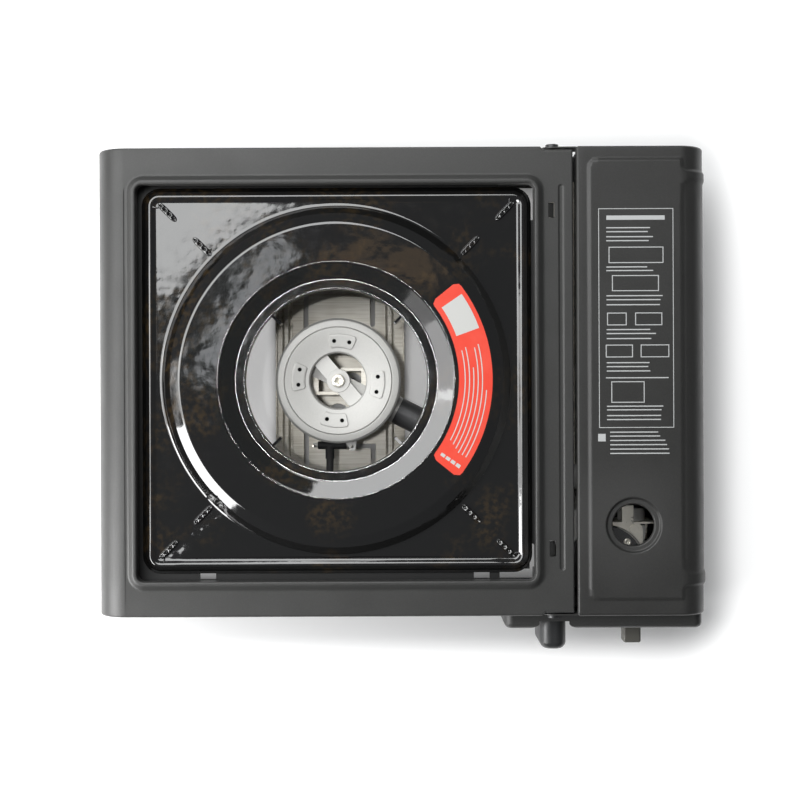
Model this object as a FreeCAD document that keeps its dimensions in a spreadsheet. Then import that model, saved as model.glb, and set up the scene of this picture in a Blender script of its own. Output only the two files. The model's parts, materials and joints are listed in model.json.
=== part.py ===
import FreeCAD, Part
import Sketcher
import math
import os
from FreeCAD import Placement, Rotation, Vector

# Portable gas stove for a lying cartridge.
# Millimetres, +Z up, front (knob side) towards -Y, cartridge bay on +X.
# The origin is under the middle of the whole stove, on the surface it stands on.

SIZES = {
    # casing
    "overall_width": 343.0, "case_depth": 262.0, "case_setback": 10.0, "top_height": 84.0,
    "foot_height": 4.0, "foot_radius": 7.0, "sheet": 0.8, "side_bend": 17.0, "edge_bend": 1.4,
    "hem_width": 10.0,
    # cartridge bay and its lid
    "lid_width": 74.0, "lid_gap": 1.7, "lid_rise": 1.0, "lid_bend": 15.0, "emboss": 1.0,
    "emboss_inset": 7.8, "emboss_end": 20.0, "lid_skirt": 29.0, "lid_side": 38.0, "joggle": 1.8,
    "ear_radius": 6.2, "pivot_inset": 12.5, "pivot_drop": 8.0, "pin_radius": 2.0, "pin_head": 3.6,
    "pin_proud": 2.0, "low_wall_drop": 24.0, "bay_clearance": 0.3, "bay_drop": 6.0, "bay_right_drop": 20.0,
    "bay_start": 70.0,
    "window_inset": 42.8, "window_setback": 50.6, "window_radius": 11.5, "dimple_radius": 15.7,
    "dimple_depth": 1.6,
    "cartridge_radius": 34.0, "cartridge_rise": 2.4,
    # opening, rim and ledge
    "opening_left": 23.65, "opening_right": 21.75, "opening_front": 20.2, "opening_rear": 20.8,
    "opening_corner": 4.0,
    "rim_height": 2.5, "rim_slope": 2.8, "rim_flat": 2.25, "rim_drop": 4.0, "ledge_drop": 7.3,
    "ledge_reach": 8.0, "ledge_overlap": 6.4, "notch_width": 8.8, "notch_inset": 34.0, "cutout_long": 19.5,
    "cutout_wide": 5.4, "cutout_narrow": 2.6,
    # pan and pot supports
    "burner_shift_x": 0.4, "burner_shift_y": 1.3, "pan_play_x": 3.2, "pan_play_y": 4.6, "pan_corner": 9.0,
    "pan_flat_drop": 4.0, "pan_sheet": 0.8, "pan_bead": 1.3, "pan_bead_width": 7.2, "pan_hole": 50.6,
    "lip_radius": 56.8, "plateau_inner": 65.6, "plateau_outer": 87.5, "shoulder_radius": 93.0,
    "foot_line": 98.3, "plateau_rise": 8.0, "lip_rise": 3.4, "shoulder_rise": 3.6,
    "support_inner": 45.5, "support_margin": 8.5, "support_height": 20.0, "support_thick": 1.5,
    "tab_inner": 105.4, "tab_margin": 8.0, "tab_length": 11.0, "tab_head": 2.8, "tab_proud": 1.1,
    "label_inner": 67.8, "label_outer": 88.0, "label_half_angle": 39.0, "label_thick": 0.15,
    # burner
    "burner_radius": 36.0, "cap_radius": 32.0, "burner_hole": 16.0, "cap_top": 62.0, "cap_wall": 1.6,
    "base_bottom": 40.0, "base_lip": 55.5, "bar_width": 9.3, "bar_angle": -50.0, "boss_radius": 6.6,
    "low_bar_width": 9.0, "pad_radius": 22.9, "pad_depth": 6.0, "pad_half_angle": 18.3,
    "pad_turn": -5.5, "pad_height": 0.7, "port_radius": 1.15, "port_angle": 11.0, "lug_width": 8.4,
    "lug_length": 5.2, "lug_angle": -78.7, "screw_head": 3.9, "screw_shank": 2.0,
    "tube_radius": 8.0, "tube_wall": 1.0, "seat_rise": 12.0, "tube_sink": 0.2, "tube_start": 38.0, "jet_gap": 6.0,
    "shutter_length": 16.0, "shutter_wall": 1.2, "nozzle_radius": 2.4, "nozzle_length": 18.0,
    "strip_width": 78.8, "strip_sheet": 1.0, "strip_flange": 5.0, "slot_width": 3.0,
    "slot_left": -21.0, "slot_right": 20.0, "strip_shift": -1.2,
    "bracket_half": 15.5, "bracket_depth": 16.0, "bracket_sheet": 1.5,
    # gas valve and igniter
    "knob_inset": 85.5, "knob_z": 47.0, "knob_radius": 20.0, "knob_proud": 22.0, "grip_width": 14.8,
    "grip_height": 39.0, "skirt_depth": 3.0, "stem_radius": 3.0, "governor_inset": 54.0,
    "governor_setback": 25.2,
    "governor_radius": 22.0, "governor_bottom": 34.0, "governor_height": 16.0, "cover_height": 4.0,
    "port_left": 20.352, "port_behind": 38.701, "barrel_radius": 8.5, "barrel_setback": 17.0,
    "barrel_length": 20.0, "inlet_radius": 8.0, "inlet_setback": 57.0,
    "cam_setback": 8.0, "cam_width": 5.0, "cam_low": 7.0, "cam_rise": 4.5, "knob_turn": 100.0,
    "igniter_width": 12.0, "igniter_height": 20.0, "plunger_radius": 2.6, "cam_clearance": 0.4,
    "claw_top": 57.2, "claw_sheet": 1.2, "claw_inset": 32.7, "claw_setback": 49.9,
    # control panel
    "panel_width": 112.6, "panel_inset": 1.0, "panel_top": 70.0, "panel_bottom": 10.0, "panel_proud": 9.4,
    "panel_wall": 2.0, "panel_corner": 5.0, "panel_gap": 0.3, "recess_radius": 24.5, "recess_depth": 4.2,
    # cartridge lever
    "lever_inset": 38.6, "lever_tab_width": 10.2, "lever_proud": 20.5, "lever_tab_z": 44.0,
    "lever_tab_height": 10.0, "lever_setback": 43.0, "lever_pivot_z": 11.0, "lever_crank": 14.0,
    "lever_sheet": 1.6, "axle_radius": 1.5, "running_fit": 0.05, "rod_height": 8.0, "rod_sheet": 2.0,
    "push_plate_inset": 8.0, "spring_wire": 0.8, "spring_radius": 3.0, "spring_turns": 10.0,
    "spring_setback": 151.0, "spring_length": 40.0, "lead_radius": 2.15,
}

doc = FreeCAD.newDocument("cassette_stove")
sheet = doc.addObject("Spreadsheet::Sheet", "Sizes")
for row, (alias, number) in enumerate(SIZES.items(), start=1):
    sheet.set(f"A{row}", alias)
    sheet.set(f"B{row}", str(number))
    sheet.setAlias(f"B{row}", alias)
doc.recompute()


class Size:
    """A length or angle: its number, and its formula on the sheet's cells."""

    def __init__(self, number, formula=None):
        self.number = float(number)
        self.formula = formula if formula is not None else repr(float(number))

    def joined(self, other, sign, number):
        return Size(number, f"({self.formula} {sign} {other.formula})")

    def __add__(self, other):
        other = sized(other)
        return self.joined(other, "+", self.number + other.number)

    def __sub__(self, other):
        other = sized(other)
        return self.joined(other, "-", self.number - other.number)

    def __mul__(self, other):
        other = sized(other)
        return self.joined(other, "*", self.number * other.number)

    def __truediv__(self, other):
        other = sized(other)
        return self.joined(other, "/", self.number / other.number)

    def __radd__(self, other):
        return sized(other) + self

    def __rsub__(self, other):
        return sized(other) - self

    def __rmul__(self, other):
        return sized(other) * self

    def __neg__(self):
        return Size(0) - self


def sized(value):
    return value if isinstance(value, Size) else Size(value)


def cosine(angle):
    angle = sized(angle)
    return Size(math.cos(math.radians(angle.number)), f"cos({angle.formula} * 1 deg)")


def sine(angle):
    angle = sized(angle)
    return Size(math.sin(math.radians(angle.number)), f"sin({angle.formula} * 1 deg)")


def bearing(along, across):
    """The angle in degrees of a direction given by its two parts."""
    number = math.degrees(math.atan2(across.number, along.number))
    return Size(number, f"(atan2({across.formula}; {along.formula}) / 1 deg)")


def smaller(one, other):
    return Size(min(one.number, other.number), f"min({one.formula}; {other.formula})")


def distance(along, across):
    return Size(math.hypot(along.number, across.number), f"hypot({along.formula}; {across.formula})")


class Sheet:
    """Each alias of the sheet as a Size."""

    def __getattr__(self, alias):
        return Size(SIZES[alias], f"Sizes.{alias}")


s = Sheet()
nodes = {}
PLANES = {"XY": "XY_Plane", "XZ": "XZ_Plane", "YZ": "YZ_Plane"}


def bind(thing, **links):
    for name, value in links.items():
        value = sized(value)
        path = name.replace("__", ".")
        if "Constraint" not in path and "." not in path:
            setattr(thing, path, value.number)
        thing.setExpression(path, value.formula)


def place(thing, x=0, y=0, z=0, turn=None, axis=Vector(0, 0, 1)):
    """Puts an object at a point, turned about one axis."""
    angle = sized(0 if turn is None else turn)
    spot = Vector(sized(x).number, sized(y).number, sized(z).number)
    thing.Placement = Placement(spot, Rotation(axis, angle.number))
    bind(thing, Placement__Base__x=x, Placement__Base__y=y, Placement__Base__z=z)
    if turn is not None and angle.formula.count("Sizes"):
        thing.setExpression("Placement.Rotation.Angle", angle.formula)
    return thing


def keep(label, thing):
    """Names a finished sub-part."""
    thing.Label = label
    nodes[label] = thing
    return thing


# Outlines: each is a list of corners (x, y) or, where an arc reaches the corner, (x, y, radius)
# with a positive radius for an arc that turns left.

def rectangle(x_low, x_high, y_low, y_high, corner=None):
    if corner is None:
        return [(x_low, y_low), (x_high, y_low), (x_high, y_high), (x_low, y_high)]
    c = sized(corner)
    return [(x_low + c, y_low), (x_high - c, y_low), (x_high, y_low + c, c), (x_high, y_high - c),
            (x_high - c, y_high, c), (x_low + c, y_high), (x_low, y_high - c, c), (x_low, y_low + c),
            (x_low + c, y_low, c)]


def centred(x, y, width, depth, corner=None):
    x, y, width, depth = sized(x), sized(y), sized(width), sized(depth)
    return rectangle(x - width / 2, x + width / 2, y - depth / 2, y + depth / 2, corner)


def circle(x, y, radius):
    return ("circle", sized(x), sized(y), sized(radius))


def arc_centre(start, end, radius):
    """Centre of the short arc from start to end; a positive radius turns left."""
    chord = end - start
    half = chord.Length / 2
    rise = math.sqrt(max(radius * radius - half * half, 0.0))
    left = Vector(-chord.y, chord.x, 0).normalize()
    return (start + end) / 2 + left * math.copysign(rise, radius)


def fix_point(sketch, edge, end, x, y):
    """Ties one end of an edge to its sizes."""
    for kind, value, axis_line in (("DistanceX", x, -2), ("DistanceY", y, -1)):
        if abs(value.number) < 1e-9:
            sketch.addConstraint(Sketcher.Constraint("PointOnObject", edge, end, axis_line))
        else:
            index = sketch.addConstraint(Sketcher.Constraint(kind, -1, 1, edge, end, value.number))
            sketch.setExpression(f"Constraints[{index}]", value.formula)


def draw(sketch, outline):
    if outline[0] == "circle":
        _, x, y, radius = outline
        edge = sketch.addGeometry(Part.Circle(Vector(x.number, y.number, 0), Vector(0, 0, 1), radius.number))
        fix_point(sketch, edge, 3, x, y)
        index = sketch.addConstraint(Sketcher.Constraint("Radius", edge, radius.number))
        sketch.setExpression(f"Constraints[{index}]", radius.formula)
        return
    corners = [tuple(sized(v) for v in corner) for corner in outline]
    if len(corners[-1]) == 3 and abs(corners[-1][0].number - corners[0][0].number) < 1e-9 \
            and abs(corners[-1][1].number - corners[0][1].number) < 1e-9:
        corners = [corners[-1]] + corners[1:-1]
    points = [Vector(c[0].number, c[1].number, 0) for c in corners]
    edges = []
    for i in range(len(corners)):
        j = (i + 1) % len(corners)
        if len(corners[j]) == 3:
            radius = corners[j][2]
            centre = arc_centre(points[i], points[j], radius.number)
            ring = Part.Circle(centre, Vector(0, 0, 1), abs(radius.number))
            first, last = (points[i], points[j]) if radius.number > 0 else (points[j], points[i])
            angles = [math.atan2((p - centre).y, (p - centre).x) for p in (first, last)]
            if angles[1] < angles[0]:
                angles[1] += 2 * math.pi
            edge = sketch.addGeometry(Part.ArcOfCircle(ring, angles[0], angles[1]))
            edges.append((edge, 1, 2) if radius.number > 0 else (edge, 2, 1))
            size = radius if radius.number > 0 else -radius
            index = sketch.addConstraint(Sketcher.Constraint("Radius", edge, size.number))
            sketch.setExpression(f"Constraints[{index}]", size.formula)
        else:
            edge = sketch.addGeometry(Part.LineSegment(points[i], points[j]))
            edges.append((edge, 1, 2))
    for i, (edge, start, _) in enumerate(edges):
        before = edges[i - 1]
        sketch.addConstraint(Sketcher.Constraint("Coincident", before[0], before[2], edge, start))
        fix_point(sketch, edge, start, corners[i][0], corners[i][1])


def new_body(label):
    return keep(label, doc.addObject("PartDesign::Body", label))


def new_sketch(body, plane, offset, outlines):
    sketch = body.newObject("Sketcher::SketchObject", f"{body.Name}_sketch")
    support = [f for f in body.Origin.OriginFeatures if f.Role == PLANES[plane]][0]
    sketch.AttachmentSupport = [(support, "")]
    sketch.MapMode = "FlatFace"
    offset = sized(offset)
    sketch.AttachmentOffset = Placement(Vector(0, 0, offset.number), Rotation())
    sketch.setExpression("AttachmentOffset.Base.z", offset.formula)
    for outline in outlines:
        draw(sketch, outline)
    return sketch


def prism(body, kind, plane, low, high, *outlines):
    """A pad or pocket of the outlines, from low to high across the plane."""
    low, high = sized(low), sized(high)
    offset = -high if plane == "XZ" else low
    sketch = new_sketch(body, plane, offset, outlines)
    before = body.Shape.Volume if kind == "Pocket" else None
    feature = body.newObject(f"PartDesign::{kind}", f"{body.Name}_{kind}")
    feature.Profile = sketch
    feature.Length = (high - low).number
    feature.setExpression("Length", (high - low).formula)
    feature.Reversed = kind == "Pocket"
    doc.recompute()
    if before is not None and not body.Shape.Volume < before - 1e-3:
        raise ValueError(f"{body.Label}: a pocket cuts nothing")
    return feature


def pad(body, plane, low, high, *outlines):
    return prism(body, "Pad", plane, low, high, *outlines)


def pocket(body, plane, low, high, *outlines):
    return prism(body, "Pocket", plane, low, high, *outlines)


def revolve(body, *outlines, groove=False):
    """A full turn about the body's own Z axis of outlines given as (radius, height)."""
    sketch = new_sketch(body, "XZ", 0, outlines)
    kind = "Groove" if groove else "Revolution"
    feature = body.newObject(f"PartDesign::{kind}", f"{body.Name}_{kind}")
    feature.Profile = sketch
    feature.ReferenceAxis = (sketch, ["V_Axis"])
    feature.Angle = 360
    doc.recompute()
    return feature


def round_edges(body, radius, test, kind="Fillet"):
    """Rounds the edges whose middle point passes the test."""
    shape = body.Shape
    names = []
    for number, edge in enumerate(shape.Edges, start=1):
        middle = edge.valueAt((edge.FirstParameter + edge.LastParameter) / 2)
        if test(edge, middle):
            names.append(f"Edge{number}")
    base = body.Tip
    feature = body.newObject(f"PartDesign::{kind}", f"{body.Name}_{kind}")
    feature.Base = (base, names)
    if kind == "Fillet":
        bind(feature, Radius=radius)
    else:
        bind(feature, Size=radius)
    doc.recompute()
    return feature


def block(x_low, x_high, y_low, y_high, z_low, z_high):
    x_low, x_high, y_low = sized(x_low), sized(x_high), sized(y_low)
    y_high, z_low, z_high = sized(y_high), sized(z_low), sized(z_high)
    box = doc.addObject("Part::Box", "block")
    bind(box, Length=x_high - x_low, Width=y_high - y_low, Height=z_high - z_low)
    return place(box, x_low, y_low, z_low)


TURNS = {"X": Rotation(Vector(0, 1, 0), 90), "Y": Rotation(Vector(1, 0, 0), -90), "Z": Rotation()}


def rod(axis, x, y, z, radius, length, top_radius=None):
    """A cylinder, or a cone, from a point along +X, +Y or +Z."""
    kind = "Part::Cylinder" if top_radius is None else "Part::Cone"
    thing = doc.addObject(kind, "rod")
    if top_radius is None:
        bind(thing, Radius=radius, Height=length)
    else:
        bind(thing, Radius1=radius, Radius2=top_radius, Height=length)
    place(thing, x, y, z)
    thing.Placement = Placement(thing.Placement.Base, TURNS[axis])
    return thing


def fuse(*things):
    joined = doc.addObject("Part::MultiFuse", "fused")
    joined.Shapes = list(things)
    joined.Refine = True
    return joined


def cut(base, *tools):
    result = doc.addObject("Part::Cut", "cut")
    result.Base = base
    result.Tool = tools[0] if len(tools) == 1 else fuse(*tools)
    return result


def group(*things):
    compound = doc.addObject("Part::Compound", "group")
    compound.Links = list(things)
    return compound


# Planes and levels that several pieces share
left = -s.overall_width / 2
right = s.overall_width / 2
front = s.case_setback - s.case_depth / 2
rear = s.case_setback + s.case_depth / 2
lid_left = right - s.lid_width
lid_right = right - s.emboss
top_edge = lid_left - s.lid_gap
pivot_x = lid_left - s.pivot_inset
pivot_z = s.top_height - s.pivot_drop
joggle_x = pivot_x - s.ear_radius - s.bay_clearance
low_front = front + s.joggle
low_rear = rear - s.joggle
low_right = lid_right - s.sheet - s.bay_clearance
floor_level = s.foot_height + s.sheet
lid_top = s.top_height + s.lid_rise
ledge_top = s.top_height - s.ledge_drop
pan_flat = s.top_height - s.pan_flat_drop
bay_left = lid_left + 0.5
bay_right = low_right - s.sheet - 0.2
bay_x = (lid_left + right) / 2
bay_z = floor_level + s.sheet + s.cartridge_rise + s.cartridge_radius
recess_face = front - s.panel_proud + s.recess_depth
bay_top = s.top_height - s.bay_drop
low_wall = s.top_height - s.low_wall_drop
window_x, window_y = right - s.window_inset, front + s.window_setback
opening_width = top_edge - left - s.opening_left - s.opening_right
opening_depth = s.case_depth - s.opening_front - s.opening_rear
opening_x = left + s.opening_left + opening_width / 2
opening_y = front + s.opening_front + opening_depth / 2
pan_width, pan_depth = opening_width - s.pan_play_x, opening_depth - s.pan_play_y
support_outer = (smaller(pan_width, pan_depth) / 2 - s.support_margin) * math.sqrt(2)
tab_outer = support_outer - s.tab_margin
tube_height = s.base_bottom + s.seat_rise - s.tube_radius - s.tube_sink
burner_x, burner_y = opening_x + s.burner_shift_x, opening_y + s.burner_shift_y
governor_x, governor_y = right - s.governor_inset, front + s.governor_setback
port_x, port_y = governor_x - s.port_left, governor_y + s.port_behind
tube_angle = bearing(port_x - burner_x, port_y - burner_y)
nozzle_seat = distance(port_x - burner_x, port_y - burner_y)
nozzle_tip = nozzle_seat - s.nozzle_length
tube_end = nozzle_tip + s.jet_gap
knob_x, knob_front = right - s.knob_inset, front - s.knob_proud
barrel_front = front + s.barrel_setback
barrel_back = barrel_front + s.barrel_length
inlet_end = front + s.inlet_setback
cam_front = front + s.cam_setback
cam_back = cam_front + s.cam_width
claw_right, claw_back = right - s.claw_inset, front + s.claw_setback
panel_right = right - s.panel_inset
panel_left = panel_right - s.panel_width
lever_x, lever_front = right - s.lever_inset, front - s.lever_proud
lever_pivot_y = front + s.lever_setback
push_plate_y = rear - s.push_plate_inset
spring_front = front + s.spring_setback
spring_back = spring_front + s.spring_length
panel_screw_left = panel_left + 4
panel_screw_right = panel_right - 8
panel_screw_z = s.panel_bottom + 8
igniter_y = (cam_front + cam_back) / 2 + 1.5
claw_screw_x = claw_right - 5.1
claw_screw_y = claw_back - 4.2


def make_body_shell():
    """Folded sheet casing: left side, top, front and rear; low walls round the bay; raised rim."""
    shell = new_body("body_shell")
    b = s.side_bend
    inner = s.side_bend - s.sheet
    pad(shell, "XZ", front, rear,
        [(left, s.foot_height), (top_edge, s.foot_height), (top_edge, s.top_height),
         (left + b, s.top_height), (left, s.top_height - b, b)])
    round_edges(shell, s.edge_bend, lambda e, m: abs(m.z - s.top_height.number) < 0.01
                and min(abs(m.y - front.number), abs(m.y - rear.number)) < 0.01)
    pocket(shell, "XZ", front + s.sheet, rear - s.sheet,
           [(left + s.sheet, floor_level), (top_edge, floor_level), (top_edge, s.top_height - s.sheet),
            (left + b, s.top_height - s.sheet), (left + s.sheet, s.top_height - b, inner)])
    hem = s.hem_width
    pocket(shell, "XY", s.foot_height, floor_level, rectangle(left + hem, top_edge, front + hem, rear - hem))
    # inset of the front and rear walls where the lid's ears lie outside them
    for low, high in ((front, low_front), (low_rear, rear)):
        pocket(shell, "XY", s.foot_height - 1, s.top_height + 1, rectangle(joggle_x, top_edge + 1, low, high))
    for outer, inner_face in ((low_front, low_front + s.sheet), (low_rear - s.sheet, low_rear)):
        pad(shell, "XZ", outer, inner_face,
            [(joggle_x - s.sheet, s.foot_height), (low_right, s.foot_height), (low_right, low_wall),
             (top_edge, low_wall), (top_edge, s.top_height), (joggle_x - s.sheet, s.top_height)])
    pad(shell, "YZ", low_right - s.sheet, low_right,
        rectangle(low_front, low_rear, s.foot_height, low_wall))
    for low, high in ((low_front, front + hem), (rear - hem, low_rear)):
        pad(shell, "XY", s.foot_height, floor_level, rectangle(joggle_x, low_right, low, high))
    # raised rim with a flange turned down into the opening
    x, y = opening_x, opening_y
    w, d, c = opening_width, opening_depth, s.opening_corner
    grow = 2 * (s.rim_slope + s.rim_flat)
    rim_top = s.top_height + s.rim_height
    for kind, drop in (("Additive", Size(0)), ("Subtractive", s.sheet)):
        low = new_sketch(shell, "XY", s.top_height - drop, [centred(x, y, w + grow, d + grow, c + 4)])
        high = new_sketch(shell, "XY", rim_top - drop,
                          [centred(x, y, w + 2 * s.rim_flat, d + 2 * s.rim_flat, c + 2)])
        loft = shell.newObject(f"PartDesign::{kind}Loft", "rim_loft")
        loft.Profile = low
        loft.Sections = [high]
        loft.Ruled = True
        doc.recompute()
    pad(shell, "XY", s.top_height - s.rim_drop, rim_top,
        centred(x, y, w + 2 * s.sheet, d + 2 * s.sheet, c + s.sheet))
    pocket(shell, "XY", s.top_height - s.rim_drop - 1, rim_top + 1, centred(x, y, w, d, c))
    # lanced slots beside the lid, and the slots for the stem and the lever
    slot_x = top_edge - 12.5
    for slot_y in (opening_y + 95, opening_y - 94.5):
        pocket(shell, "XY", s.top_height - 1, s.top_height + 1, centred(slot_x, slot_y, 3.6, 8.6))
    pocket(shell, "XZ", front - 1, low_front + s.sheet + 1, circle(knob_x, s.knob_z, s.stem_radius + 1.5))
    pocket(shell, "XZ", front - 1, low_front + s.sheet + 1,
           centred(lever_x, s.foot_height + 22, 6, 28))
    for screw_x in (panel_screw_left, panel_screw_right):
        pocket(shell, "XZ", front - 1, low_front + s.sheet + 1,
               circle(screw_x, panel_screw_z, s.screw_shank - 0.4))
    for low, high in ((front - 1, low_front + s.sheet + 1), (low_rear - s.sheet - 1, rear + 1)):
        pocket(shell, "XZ", low, high, circle(pivot_x, pivot_z, s.pin_radius + s.running_fit))


def make_ledge():
    """Frame under the opening that the pan's edge rests on."""
    ledge = new_body("pan_ledge")
    x, y = opening_x, opening_y
    w, d = opening_width + 2 * s.ledge_overlap, opening_depth + 2 * s.ledge_overlap
    inner_w = pan_width - 2 * s.ledge_reach + 3
    inner_d = pan_depth - 2 * s.ledge_reach + 3
    pad(ledge, "XY", ledge_top - s.sheet, ledge_top, centred(x, y, w, d, 6),
        centred(x, y, inner_w, inner_d, 3))
    pad(ledge, "XY", ledge_top - s.sheet, s.top_height - s.sheet, centred(x, y, w, d, 6),
        centred(x, y, w - 2 * s.sheet, d - 2 * s.sheet, 6 - s.sheet))
    back, side = y - opening_depth / 2, x + opening_width / 2
    low, high = ledge_top - s.sheet - 1, ledge_top + 0.5
    for notch_x in (x - opening_width / 2 + s.notch_inset, x + opening_width / 2 - s.notch_inset):
        pocket(ledge, "XY", low, high, rectangle(notch_x, notch_x + s.notch_width, back, back + 8))
    for along in (-1, 1):
        edge = y + along * opening_depth / 2
        wide = sorted((edge, edge - along * s.cutout_wide), key=lambda v: v.number)
        tall = sorted((edge, edge - along * s.cutout_long), key=lambda v: v.number)
        pocket(ledge, "XY", low, high, rectangle(side - s.cutout_long, side, wide[0], wide[1]))
        pocket(ledge, "XY", low, high, rectangle(side - s.cutout_narrow, side, tall[0], tall[1]))


def make_pan():
    """Square enamelled pan, upside down: raised ring, hole, edge bead and turned-down hem."""
    pan = new_body("drip_pan")
    t = s.pan_sheet
    w, d, c = pan_width, pan_depth, s.pan_corner
    pad(pan, "XY", pan_flat - t, pan_flat, centred(0, 0, w, d, c), circle(0, 0, s.foot_line - 0.6))
    top = [(s.pan_hole, s.lip_rise), (s.lip_radius, s.lip_rise), (s.plateau_inner, s.plateau_rise),
           (s.plateau_outer, s.plateau_rise), (s.shoulder_radius, s.plateau_rise - s.shoulder_rise),
           (s.foot_line, Size(0)), (s.foot_line + 1, Size(0))]
    upper = [(radius, pan_flat + rise) for radius, rise in top]
    lower = [(radius, pan_flat + rise - t) for radius, rise in reversed(top)]
    revolve(pan, upper + lower)
    pad(pan, "XY", pan_flat - t, pan_flat + s.pan_bead, centred(0, 0, w - 1.6, d - 1.6, c - 0.8),
        centred(0, 0, w - 2 * s.pan_bead_width, d - 2 * s.pan_bead_width, 3))
    pad(pan, "XY", ledge_top, pan_flat, centred(0, 0, w, d, c), centred(0, 0, w - 2 * t, d - 2 * t, c - t))
    for turn in (1, -1):
        for radius in (s.tab_inner, tab_outer):
            for side in (1, -1):
                spot = side * radius
                half = s.tab_length / 2 + 0.15
                width = s.support_thick / 2 + 0.15
                root = cosine(45)
                along = [(spot - half, -width), (spot + half, -width), (spot + half, width),
                         (spot - half, width)]
                outline = [((a - turn * b) * root, (turn * a + b) * root) for a, b in along]
                if turn < 0:
                    outline = [((a + b) * root, (b - a) * root) for a, b in along]
                pocket(pan, "XY", pan_flat - 2, pan_flat + 1, outline)
    place(pan, burner_x, burner_y, 0)


def make_supports():
    """Four upright steel blades with tabs through the pan, closed over on its face."""
    bottom = pan_flat - s.pan_sheet - 0.1
    for number, turn in enumerate((45, 135, 225, 315), start=1):
        support = new_body(f"pot_support_{number}")
        half = s.support_thick / 2
        low = bottom - s.support_height
        pad(support, "XZ", -half, half,
            [(s.support_inner, bottom - 9), (s.support_inner + 5, low), (support_outer - 10, low),
             (support_outer, bottom - 9), (support_outer, bottom), (s.support_inner, bottom)])
        for radius in (s.tab_inner, tab_outer):
            a, z = radius - s.tab_length / 2, radius + s.tab_length / 2
            pad(support, "XZ", -half, half, rectangle(a, z, bottom - 1, pan_flat + 0.3))
            pad(support, "XZ", -s.tab_head / 2, s.tab_head / 2,
                rectangle(a, z, pan_flat + 0.1, pan_flat + s.tab_proud))
        place(support, burner_x, burner_y, 0, turn=turn)


def make_label():
    """Curved label on the pan's raised ring."""
    label = new_body("pan_label")
    outer, inner, a = s.label_outer - 2, s.label_inner, s.label_half_angle
    level = pan_flat + s.plateau_rise + 0.02
    pad(label, "XY", level, level + s.label_thick,
        [(inner * cosine(a), inner * sine(a)), (inner * cosine(a), -inner * sine(a), -inner),
         (outer * cosine(a), -outer * sine(a)), (outer * cosine(a), outer * sine(a), outer)])
    place(label, burner_x, burner_y, 0)


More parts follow.
